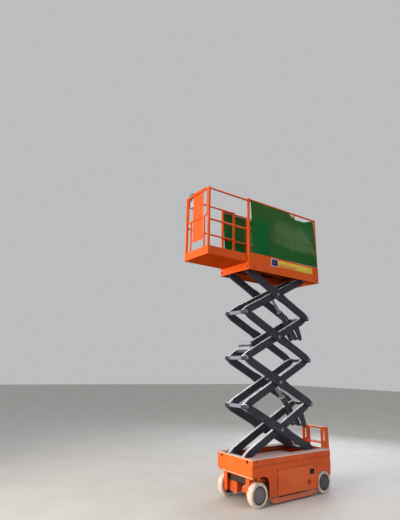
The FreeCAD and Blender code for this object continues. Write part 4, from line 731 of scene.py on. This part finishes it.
def bar(shape, low, high, bevel=0.0):
    """A block between two corners, its edges rounded."""
    block = bmesh.ops.create_cube(shape, size=1.0)["verts"]
    middle = (Vector(low) + Vector(high)) / 2
    size = Vector(high) - Vector(low)
    bmesh.ops.transform(shape, verts=block, matrix=Matrix.Translation(middle)
                        @ Matrix.Diagonal((size.x, size.y, size.z, 1)))
    if bevel > 0:
        edges = list({edge for vert in block for edge in vert.link_edges})
        bmesh.ops.bevel(shape, geom=edges, offset=bevel, segments=2, affect="EDGES", profile=0.5)


# Forms that repeat, such as bolts: a tree of nodes stands one form on every spot

# The tree's sockets. Columns: name, kind and way.
STANDING_SOCKETS = [
    ("Spots", "Geometry", "INPUT"),
    ("Form", "Object", "INPUT"),
    ("Radius", "Float", "INPUT"),
    ("Height", "Float", "INPUT"),
    ("Finish", "Material", "INPUT"),
    ("Forms", "Geometry", "OUTPUT"),
]
# The attribute that holds how each spot is turned, as three angles
TURN = "turn"


def standing_tree():
    """Stand an object's form, drawn at unit size, on each point of a mesh, as its turn says."""
    tree = bpy.data.node_groups.new("StandOnSpots", "GeometryNodeTree")
    for label, kind, way in STANDING_SOCKETS:
        tree.interface.new_socket(label, in_out=way, socket_type="NodeSocket" + kind)
    given = add_node(tree, "NodeGroupInput").outputs
    form = add_node(tree, "GeometryNodeObjectInfo", {"Object": given["Form"]}).outputs["Geometry"]
    size = add_node(tree, "ShaderNodeCombineXYZ",
                    {0: given["Radius"], 1: given["Radius"], 2: given["Height"]}).outputs[0]
    turn = add_node(tree, "GeometryNodeInputNamedAttribute", {"Name": TURN},
                    data_type="FLOAT_VECTOR").outputs["Attribute"]
    stood = add_node(tree, "GeometryNodeInstanceOnPoints",
                     {"Points": given["Spots"], "Instance": form, "Rotation": turn,
                      "Scale": size}).outputs["Instances"]
    whole = add_node(tree, "GeometryNodeRealizeInstances", {"Geometry": stood}).outputs[0]
    painted = add_node(tree, "GeometryNodeSetMaterial",
                       {"Geometry": whole, "Material": given["Finish"]}).outputs[0]
    add_node(tree, "NodeGroupOutput", {"Forms": painted})
    return tree


STANDING = standing_tree()


def repeated(name, form, radius, height, spots, finish, body, smooth=False):
    """One piece with a unit form on every spot. A spot is a place and the way that it looks."""
    mesh = bpy.data.meshes.new(name + "_spots")
    mesh.from_pydata([place for place, way in spots], [], [])
    turns = mesh.attributes.new(TURN, "FLOAT_VECTOR", "POINT")
    for at, (place, way) in enumerate(spots):
        turns.data[at].vector = turn_to(way).to_euler()
    item = link_object(name, mesh)
    source = bpy.data.objects.new(name + "_form", mesh_of(name + "_form", form, finish))
    stand = item.modifiers.new("Stand", "NODES")
    stand.node_group = STANDING
    values = {"Form": source, "Radius": radius, "Height": height, "Finish": finish_of(finish)}
    for socket in STANDING.interface.items_tree:
        if socket.name in values:
            stand[socket.identifier] = values[socket.name]
    scene = bpy.context.evaluated_depsgraph_get()
    item.data = bpy.data.meshes.new_from_object(item.evaluated_get(scene))
    item.data.name = name
    item.modifiers.clear()
    bpy.data.objects.remove(source)
    return place_piece(item, body, smooth)


# Wheels

# Name, side and the finish of the disc
# The rear discs' finish is the front discs' coat, painted darker and colder as shade
WHEELS = [("front_left", 1, "disc"), ("front_right", -1, "disc"),
          ("rear_left", 1, "slate"), ("rear_right", -1, "slate")]
# The tyre's outline, in metres: radius of its shoulders, height of its flat side wall, its gap
# to the rim and the bevel beside it
SHOULDER = 0.017
SIDE_WALL = 0.030
RIM_FIT = 0.0005
TYRE_BEVEL = 0.003
# The wheel: how deep the disc is set in, and the groove round the disc, measured from the rim
SET_IN = 0.004
GROOVE_INNER = 0.019
GROOVE_OUTER = 0.007
# The cap in the disc's middle, as radius and height over the disc
HUB_CAP = [(0, -0.0005), (0.014, -0.0005), (0.016, -0.002), (0.018, -0.002), (0.020, -0.0005)]
# The wheel from behind: the depth of its bowl, and its hub's outside, bore and depth
BOWL = 0.020
HUB = 0.046
BORE = 0.0215
HUB_DEPTH = 0.046
BORE_END = 0.016


def quarter(radius, height, size, start):
    """A quarter of a circle round a point of a profile, from an angle in degrees."""
    steps = 6
    turns = [math.radians(start + 90 * step / steps) for step in range(steps + 1)]
    return [(radius + size * math.cos(turn), height + size * math.sin(turn)) for turn in turns]


def wheels():
    """Solid tyres with rounded shoulders, on moulded wheels with a flat disc."""
    for name, side, finish in WHEELS:
        low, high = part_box(name + "_tyre")
        rim_low, rim_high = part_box(name + "_rim")
        centre = (Vector(low) + Vector(high)) / 2
        radius = (high[0] - low[0]) / 2
        half = (high[1] - low[1]) / 2
        rim = (rim_high[0] - rim_low[0]) / 2
        face = half - SET_IN
        axis = (0, side, 0)
        body = BODY_OF[name + "_tyre"]
        outline = [
            (rim + RIM_FIT, TYRE_BEVEL - half), (rim + 0.004, -half), (radius - SIDE_WALL, -half),
            *quarter(radius - SHOULDER, SHOULDER - half, SHOULDER, -90),
            *quarter(radius - SHOULDER, half - SHOULDER, SHOULDER, 0),
            (radius - SIDE_WALL, half), (rim + 0.012, half), (rim + 0.008, half - TYRE_BEVEL),
            (rim + RIM_FIT, half - TYRE_BEVEL),
        ]
        shape = bmesh.new()
        ring_of(shape, outline, centre, axis, 96)
        tyre = from_bmesh(name + "_moulded_tyre", shape, "rubber", body)
        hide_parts(name + "_tyre")
        cap = [(out, face + height) for out, height in HUB_CAP]
        front = [
            (rim - GROOVE_INNER - 0.004, face), (rim - GROOVE_INNER - 0.001, face - 0.001),
            (rim - GROOVE_INNER, face - SET_IN), (rim - GROOVE_OUTER, face - SET_IN),
            (rim - GROOVE_OUTER + 0.001, half - 0.002), (rim - GROOVE_OUTER + 0.003, half),
            (rim - 0.001, half), (rim, half - 0.001),
        ]
        rear = [
            (rim, 0.002 - half), (rim - 0.002, -half), (rim - 0.010, -half),
            (rim - 0.012, 0.003 - half), (rim - 0.018, half - BOWL), (HUB, half - BOWL),
            (HUB - 0.002, half - HUB_DEPTH), (BORE, half - HUB_DEPTH), (BORE, half - BORE_END),
            (0, half - BORE_END),
        ]
        shape = bmesh.new()
        lathe(shape, cap + front + rear, centre, axis, 72)
        disc = from_bmesh(name + "_moulded_rim", shape, finish, body)
        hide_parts(name + "_rim")
        seal = [
            (rim - GROOVE_INNER + 0.0002, face - SET_IN + 0.0002),
            (rim - GROOVE_INNER + 0.0004, face - 0.0012),
            (rim - GROOVE_OUTER + 0.0006, face - 0.0012),
            (rim - GROOVE_OUTER + 0.0002, face - SET_IN + 0.0002),
        ]
        shape = bmesh.new()
        ring_of(shape, seal, centre, axis, 72)
        from_bmesh(name + "_rim_seal", shape, "black", body)


# Nets

# Name, side, whether its upper edge has come loose, and how deep its creases are
NETS = [("left_net", 1, True, 1.0), ("right_net", -1, False, 0.5)]
NET_COLUMNS = 120
NET_ROWS = 60
# How far the cloth lies inside the CAD plate's face, and its thickness, in metres
NET_SET_IN = 0.0035
CLOTH = 0.0009
# Share of the height over which the cloth comes away from its tied edges
TIED_SHARE = 1 / 6
# How far the upper edge hangs between two ties, and how closely these follow, in radians a metre
TIE_SAG = 0.002
TIE_SPACING = 9
# Height of the cloth's broad waves and of its upright folds, and how far its lower edge stands
# over the plate's and rises and falls, in metres
WAVE = 0.004
FOLD = 0.0015
FOOT_GAP = 0.002
FOOT_RAG = 0.003
# Part of a crease's length that has its full depth, to each side of its middle, and its fading
FULL_CREASE = 0.35
CREASE_FADE = 0.25
# How far the left net's upper edge hangs below its straight line: x and drop, in metres
DROOP = [(-0.374, 0.0), (-0.594, 0.092), (-0.80, 0.084), (-1.0, 0.030), (-1.085, 0.0)]
# A crease: its two ends in x and z, its half width and its depth, in metres
CREASES = [
    ((0.42, 4.70), (0.30, 3.86), 0.030, 0.007),
    ((0.18, 4.78), (0.22, 3.90), 0.045, 0.008),
    ((-0.05, 4.60), (-0.20, 3.84), 0.040, 0.010),
    ((-0.35, 4.76), (-0.70, 4.10), 0.050, 0.013),
    ((-0.60, 4.62), (-1.10, 4.20), 0.022, 0.013),
    ((-0.75, 4.66), (-1.12, 4.70), 0.030, 0.009),
    ((0.05, 4.32), (-1.10, 4.12), 0.020, 0.008),
    ((-0.80, 4.20), (-1.14, 3.95), 0.045, 0.012),
    ((-0.55, 4.05), (-0.95, 3.88), 0.040, 0.010),
    ((-0.95, 4.60), (-1.05, 3.90), 0.030, 0.008),
]


def droop(x):
    """The left net's upper edge has come loose from the rail towards the rear."""
    for (x0, drop0), (x1, drop1) in zip(DROOP, DROOP[1:]):
        if x1 <= x <= x0:
            share = (x0 - x) / (x0 - x1)
            return drop0 + (drop1 - drop0) * share * share * (3 - 2 * share)
    return 0.0


def along_line(points, value):
    """The first coordinate of the line through the points, where the second is the value."""
    for (first0, second0), (first1, second1) in zip(points, points[1:]):
        if value <= second1:
            return first0 + (first1 - first0) * (value - second0) / (second1 - second0)
    return points[-1][0]


def crease_depth(x, z):
    """How far the cloth stands out at a point, from the creases near it."""
    depth = 0.0
    for (x0, z0), (x1, z1), width, rise in CREASES:
        line = Vector((x1 - x0, z1 - z0))
        share = ((x - x0) * line.x + (z - z0) * line.y) / line.length_squared
        fade = max(0.0, 1 - max(0.0, abs(share - 0.5) - FULL_CREASE) / CREASE_FADE)
        away = abs((x - x0) * line.y - (z - z0) * line.x) / line.length
        depth += rise * fade * math.exp(-(away / width) ** 2)
    return depth


def waves(x, z, side):
    """How far the cloth stands out from its tension, away from the creases."""
    broad = WAVE * (1 + noise.noise(Vector((x * 2.4, z * 2.0, side * 3.0))))
    return broad + FOLD * math.sin(34 * x + 2 * math.sin(3 * z))


def ragged_foot(x, side):
    """How far the lower edge of a net rises and falls."""
    return FOOT_GAP + FOOT_RAG * (1 + noise.noise(Vector((x * 11, side, 0))))


def nets():
    """Nets with the outline of the CAD nodes, creased, and loose at one edge on the left."""
    for name, side, loose, crease_share in NETS:
        low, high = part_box(name)
        middle = (low[0] + high[0]) / 2
        corners = {(round(vert.co.x, 4), round(vert.co.z, 4)) for vert in NODES[name].data.vertices}
        front = sorted((corner for corner in corners if corner[0] > middle), key=lambda at: at[1])
        rear = sorted((corner for corner in corners if corner[0] < middle), key=lambda at: at[1])
        upper = [(front[-1][1], -front[-1][0]), (rear[-1][1], -rear[-1][0])]
        face = (high[1] if side > 0 else -low[1]) - NET_SET_IN
        shape = bmesh.new()
        grid = []
        for column in range(NET_COLUMNS + 1):
            share = column / NET_COLUMNS
            line = []
            x_top = front[-1][0] + (rear[-1][0] - front[-1][0]) * share
            x_foot = front[0][0] + (rear[0][0] - front[0][0]) * share
            top = along_line(upper, -x_top) - TIE_SAG * abs(math.sin(TIE_SPACING * x_top))
            if loose:
                top -= droop(x_top)
            foot = low[2] + ragged_foot(x_foot, side)
            for row in range(NET_ROWS + 1):
                z = foot + (top - foot) * row / NET_ROWS
                x0, x1 = along_line(front, z), along_line(rear, z)
                x = x0 + (x1 - x0) * share
                seat = min(1.0, min(row, NET_ROWS - row) / NET_ROWS / TIED_SHARE)
                out = max(0.0, waves(x, z, side) + crease_depth(x, z) * crease_share) * seat
                line.append(shape.verts.new((x, side * (face + out), z)))
            grid.append(line)
        for column in range(NET_COLUMNS):
            for row in range(NET_ROWS):
                shape.faces.new((grid[column][row], grid[column + 1][row],
                                 grid[column + 1][row + 1], grid[column][row + 1]))
        bmesh.ops.solidify(shape, geom=shape.faces[:], thickness=CLOTH)
        item = from_bmesh(name + "_cloth", shape, "net", BODY_OF[name])
        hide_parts(name)


# Signs, bolts, latches and other small things

# Bare panels on the left side panel. Columns: name, its ends in x, its ends in z, how far it
# stands out, and its finish. All in metres.
SIGNS = [
    ("sign_frame", -0.090, 0.080, 3.680, 3.816, 0.0006, "white"),
    ("sign_square", -0.080, 0.070, 3.690, 3.806, 0.0009, "navy"),
    ("sign_strip", -1.004, -0.094, 3.690, 3.806, 0.0006, "yellow"),
    ("sign_band", -0.560, -0.110, 3.694, 3.752, 0.0009, "amber"),
]
# How deep a sign is sunk in its panel, which is its bevel too
SIGN_SUNK = 0.0002


def signs():
    """A square in a white frame, and a two-coloured strip."""
    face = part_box("platform_deck")[1][1]
    for name, x0, x1, z0, z1, thick, finish in SIGNS:
        shape = bmesh.new()
        bar(shape, (x0, face - SIGN_SUNK, z0), (x1, face + thick, z1), SIGN_SUNK)
        from_bmesh(name, shape, finish, "platform")


# Bolts of the main deck, at its sides and at its front: their places, and each head's radius and
# height, in metres
SIDE_BOLTS_X = (0.464, -1.115)
SIDE_BOLTS_Z = 3.592
SIDE_BOLT = (0.010, 0.007)
FRONT_BOLTS_Y = 0.338
FRONT_BOLTS_Z = 3.600
FRONT_BOLT = (0.011, 0.008)


def deck_bolts():
    """Dark bolts at the ends of the main deck's side panels and front beam."""
    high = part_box("platform_deck")[1]
    for name, side in (("deck_side_bolts_left", 1), ("deck_side_bolts_right", -1)):
        spots = [((x, side * high[1], SIDE_BOLTS_Z), (0, side, 0)) for x in SIDE_BOLTS_X]
        repeated(name, unit_bolt(), *SIDE_BOLT, spots, "black", "platform")
    spots = [((high[0], side * FRONT_BOLTS_Y, FRONT_BOLTS_Z), (1, 0, 0)) for side in (-1, 1)]
    repeated("deck_front_bolts", unit_bolt(), *FRONT_BOLT, spots, "black", "platform")


# The latch pocket in a door: two ends in x, two in z, its depth and its skin, in metres
POCKET_X = (-0.755, -0.645)
POCKET_Z = (0.332, 0.408)
POCKET_DEPTH = 0.018
SKIN = 0.002
# The paddle in the pocket: how far it lies in from the pocket's ends in x and z, and its bevel
PADDLE_X = (0.014, 0.030)
PADDLE_Z = (0.012, 0.030)
PADDLE_BEVEL = 0.004
# Key locks. Columns: ending of the name, x, z, and whether it sits in the door
LOCKS = [("_lock", -0.7405, 0.452, True), ("_skin_lock", -0.817, 0.437, False)]
# A lock's outline as radius and height over its sheet
LOCK_PROFILE = [(0, -0.0010), (0.004, -0.0010), (0.0045, 0.0004), (0.010, 0.0004),
                (0.0115, -0.0010), (0, -0.0012)]


def door_fittings():
    """A black latch cup with its paddle in each door's pocket, and the key locks."""
    (x0, x1), (z0, z1) = POCKET_X, POCKET_Z
    for name, side in (("left_door", 1), ("right_door", -1)):
        low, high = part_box(name)
        face = high[1] if side > 0 else -low[1]
        back = face - POCKET_DEPTH
        shape = bmesh.new()
        for start, end in (
                ((x0, back, z0), (x1, back + SKIN, z1)),
                ((x0, back, z0), (x0 + SKIN, face, z1)), ((x1 - SKIN, back, z0), (x1, face, z1)),
                ((x0, back, z0), (x1, face, z0 + SKIN)), ((x0, back, z1 - SKIN), (x1, face, z1))):
            bar(shape, (start[0], side * start[1], start[2]), (end[0], side * end[1], end[2]))
        from_bmesh(name + "_latch_cup", shape, "black", name)
        shape = bmesh.new()
        bar(shape, (x0 + PADDLE_X[0], side * (back + 2 * SKIN), z0 + PADDLE_Z[0]),
            (x1 - PADDLE_X[1], side * (face - SKIN), z1 - PADDLE_Z[1]), PADDLE_BEVEL)
        from_bmesh(name + "_latch_paddle", shape, "black", name)
        for label, x, z, in_door in LOCKS:
            shape = bmesh.new()
            outer = face if in_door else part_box("base_frame")[1][1]
            lathe(shape, LOCK_PROFILE, Vector((x, side * outer, z)), (0, side, 0), 24)
            from_bmesh(name + label, shape, "black", name if in_door else BODY_OF["base_frame"])


# Tie-down holes in the front plate: half their distance, their height and their radius, in metres
TIE_HALF = 0.297
TIE_HEIGHT = 0.612
TIE_RADIUS = 0.0186
# A grommet's outline, and a black floor across the hole that stands in for the shade inside it, as
# radius from the hole's edge and height over the plate
GROMMET = [(-0.003, -0.014), (0, -0.014), (0, -0.0002), (0.005, 0.0003), (0.004, 0.0022),
           (-0.001, 0.0024), (-0.003, 0.0005)]
HOLE_SHADE_FLOOR = [(-TIE_RADIUS, -0.016), (-0.001, -0.016), (-0.001, -0.0145),
                 (-TIE_RADIUS, -0.0145)]


def tie_grommets():
    """Black grommets in the front plate's two tie-down holes, each closed by a black floor as
    painted shade.
    """
    shape = bmesh.new()
    for side in (-1, 1):
        centre = Vector((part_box("front_plate")[1][0], side * TIE_HALF, TIE_HEIGHT))
        edge, floor = [[(TIE_RADIUS + out, height) for out, height in outline]
                       for outline in (GROMMET, HOLE_SHADE_FLOOR)]
        ring_of(shape, edge, centre, (1, 0, 0), 32)
        lathe(shape, floor, centre, (1, 0, 0), 32)
    from_bmesh("tie_hole_grommets", shape, "black", BODY_OF["front_plate"])


# Where a pin's cap stands, from the middle plane: at the pivot on the chassis, and at the others
CHASSIS_PIN_REACH = 0.229
PIN_REACH = 0.263
# A cap as radius and height, where 1 is its radius and its height
CAP = [(0, 1), (0.85, 1), (1, 0.25), (1, 0), (0, 0)]
# What stands on a pin's end. Columns: ending of the name, form, its radius and height, how far out
# it stands, finish, and whether it is shaded smooth. All in metres.
PIN_FORMS = [
    ("_pin_caps", lambda: unit_turned(CAP, 28), 0.020, 0.004, 0.0, "pale", True),
    ("_pin_bolts", unit_bolt, 0.0085, 0.007, 0.0035, "zinc", False),
]


def pin_caps():
    """Caps with a bolt on the outer ends of the scissor pins."""
    for name, joint in JOINTS.items():
        ends = (joint["parent"], joint["child"])
        inner = next((end for end in ends if end.startswith("level") and "inner" in end), None)
        if inner is None or joint["type"] != "hinge" or "barrel" in joint["child"]:
            continue
        centre = Vector(joint["pos_m"])
        reach = CHASSIS_PIN_REACH if joint["parent"] == "chassis" else PIN_REACH
        for label, form, radius, height, out, finish, smooth in PIN_FORMS:
            spots = [((centre.x, side * (reach + out), centre.z), (0, side, 0)) for side in (1, -1)]
            repeated(name + label, form(), radius, height, spots, finish, inner, smooth)


# Cross beam on the third level's inner arms: its outline along and above the arm, from the
# front pin, half its length and the radius of its folds, in metres
BEAM = [(0.150, 0.028), (0.186, 0.062), (0.228, 0.097), (0.240, 0.097), (0.240, 0.112),
        (0.260, 0.126), (0.260, 0.166), (0.300, 0.166), (0.300, 0.128), (0.282, 0.112),
        (0.282, 0.028)]
BEAM_HALF = 0.1445
BEAM_FOLD = 0.0025


def cross_beam():
    """A folded cross beam between the third level's inner arms."""
    pin = Vector(JOINTS["level_3_front"]["pos_m"])
    far = Vector(JOINTS["level_4_rear"]["pos_m"])
    along = (far - pin).normalized()
    above = Y_AXIS.cross(along)
    if above.z < 0:
        above = -above
    shape = bmesh.new()
    near, far_side = [[shape.verts.new(pin + along * first + above * second + Y_AXIS * end)
                       for first, second in BEAM] for end in (-BEAM_HALF, BEAM_HALF)]
    for index in range(len(BEAM)):
        after = (index + 1) % len(BEAM)
        shape.faces.new((near[index], near[after], far_side[after], far_side[index]))
    shape.faces.new(near[::-1])
    shape.faces.new(far_side)
    bmesh.ops.bevel(shape, geom=shape.edges[:], offset=BEAM_FOLD, segments=2, affect="EDGES",
                    profile=0.5)
    from_bmesh("scissor_cross_beam", shape, "beam", "level_3_inner", smooth=False)


# The control box: its front and its top, then its hook and its console, and how round their edges
# are, in metres
BOX_FRONT = 1.380
BOX_TOP = 4.790
BOX_BEVEL = 0.008
HOOK_SIDES = (-0.250, -0.170)
HOOK_SHEET = 0.005
HOOK_DROP = 0.029
HOOK_FOOT = 0.060
HOOK_BEVEL = 0.0012
CONSOLE_WIDTH = 0.075
CONSOLE_BEVEL = 0.010
PANEL_BEVEL = 0.0008
# How far a piece that stands on another is sunk in it
SUNK = 0.001
# Turned forms on the box, as radius and height
JOYSTICK = [(0, 0), (0.026, 0), (0.022, 0.010), (0.016, 0.016), (0.018, 0.022), (0.009, 0.030),
            (0.008, 0.058), (0.015, 0.066), (0.017, 0.085), (0.012, 0.096), (0, 0.099)]
STOP_BUTTON = [(0, 0), (0.009, 0), (0.009, 0.008), (0.019, 0.010), (0.020, 0.016), (0.014, 0.022),
               (0, 0.024)]
# Columns: name, profile, which end of the box in y, how far past that end, z, way it looks, steps
# round it, and finish
KNOBS = [
    ("joystick", JOYSTICK, 1, -0.060, 4.758, (-0.8, 0, 0.6), 28, "black"),
    ("platform_stop", STOP_BUTTON, 0, 0.045, 4.765, (-1, 0, 0), 32, "red"),
]
# The panel of switches: its heights, how far it stands out and lies in from the box's ends
PANEL_HEIGHTS = (4.652, 4.722)
PANEL_PROUD = 0.002
PANEL_INSET = 0.015
# A switch as radius and height, where 1 is its radius and its height, then its size and places
SWITCH = [(0, 0), (1, 0), (1, 0.5), (0.7, 0.875), (0, 1)]
SWITCH_RADIUS = 0.010
SWITCH_HEIGHT = 0.008
SWITCH_COUNT = 4
SWITCH_PITCH = 0.032
FIRST_SWITCH = 0.035
SWITCHES_Z = 4.690


def control_station():
    """Grey box with a blue console at one end, its joystick, stop button and switches."""
    low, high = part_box("platform_controls")
    body = BODY_OF["platform_controls"]
    back = low[0]
    hook_top = max(vert.co.z for vert in NODES["platform_controls"].data.vertices
                   if vert.co.x > BOX_FRONT + HOOK_SHEET)
    hook_back = BOX_FRONT + SUNK - HOOK_SHEET
    shape = bmesh.new()
    bar(shape, (back, low[1], low[2]), (BOX_FRONT, high[1], BOX_TOP), BOX_BEVEL)
    box = from_bmesh("control_box", shape, "control", body)
    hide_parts("platform_controls")
    shape = bmesh.new()
    bar(shape, (back + 0.010, low[1] + 0.002, BOX_TOP - 0.002),
        (BOX_FRONT - 0.002, low[1] + CONSOLE_WIDTH, high[2] - 0.004), CONSOLE_BEVEL)
    from_bmesh("control_console", shape, "blue", body)
    shape = bmesh.new()
    for x0, x1, z0, z1 in (
            (hook_back, high[0], hook_top - HOOK_SHEET, hook_top),
            (high[0] - HOOK_SHEET, high[0], hook_top - HOOK_DROP, hook_top - SUNK),
            (hook_back, hook_back + HOOK_SHEET, BOX_TOP - HOOK_FOOT, hook_top)):
        bar(shape, (x0, HOOK_SIDES[0], z0), (x1, HOOK_SIDES[1], z1), HOOK_BEVEL)
    from_bmesh("control_hook", shape, "zinc", body)
    for name, profile, end, past, z, way, steps, finish in KNOBS:
        shape = bmesh.new()
        lathe(shape, profile, Vector((back, (low, high)[end][1] + past, z)), way, steps)
        from_bmesh(name, shape, finish, body)
    spots = [((back - PANEL_PROUD, low[1] + FIRST_SWITCH + index * SWITCH_PITCH, SWITCHES_Z),
              (-1, 0, 0)) for index in range(SWITCH_COUNT)]
    repeated("control_switches", unit_turned(SWITCH, 20), SWITCH_RADIUS, SWITCH_HEIGHT, spots,
             "black", body, smooth=True)
    shape = bmesh.new()
    bar(shape, (back - PANEL_PROUD, low[1] + PANEL_INSET, PANEL_HEIGHTS[0]),
        (back + SUNK, high[1] - PANEL_INSET, PANEL_HEIGHTS[1]), PANEL_BEVEL)
    from_bmesh("control_panel", shape, "white", body)


# Stage and CAD nodes

# How far the floor reaches, in metres
FLOOR_REACH = 40


def ground():
    """A plain, pale floor."""
    shape = bmesh.new()
    bmesh.ops.create_grid(shape, x_segments=1, y_segments=1, size=FLOOR_REACH)
    mesh = bpy.data.meshes.new("Floor")
    shape.to_mesh(mesh)
    shape.free()
    surface = Surface("PaleFloor", FLOOR_PATTERNS, 0.7)
    mesh.materials.append(surface.finish(
        surface.coat("#D6D2CC", "#CFCBC5", (surface.pattern["shade"], 0.3, 0.7))))
    link_object("Floor", mesh)


# CAD nodes by the finish that they get. The arms' nodes all get the arms' finish.
FINISH_NODES = {
    "body": ("base_frame",),
    "front": ("front_plate",),
    "cover": ("deck_covers",),
    "door": ("left_door", "right_door"),
    "guard": ("left_guard", "right_guard"),
    "axle": ("front_axle", "rear_axle", "tie_rod"),
    "orange": ("left_knuckle", "right_knuckle", "left_drive_motor", "right_drive_motor",
               "entry_ladder", "platform_rails", "entry_gate", "extension_rails"),
    "deck": ("platform_deck",),
    "extension": ("extension_deck",),
    "control": ("platform_controls",),
    "arm": ("lower_cylinder_barrel", "upper_cylinder_barrel"),
    "chrome": ("lower_cylinder_rod", "upper_cylinder_rod"),
    "black": ("battery_packs",),
    "red": ("left_stop_button",),
}
NODE_FINISH = {node: finish for finish, nodes in FINISH_NODES.items() for node in nodes}


def finish_nodes():
    """Give each CAD node its material. Tyres, rims and nets are replaced, and keep theirs."""
    for name, item in NODES.items():
        finish = "arm" if name.endswith("_arms") else NODE_FINISH.get(name)
        if finish is not None:
            item.data.materials.clear()
            item.data.materials.append(finish_of(finish))


camera()
lights()
surround()
ground()
finish_nodes()
wheels()
nets()
signs()
deck_bolts()
door_fittings()
tie_grommets()
pin_caps()
cross_beam()
control_station()
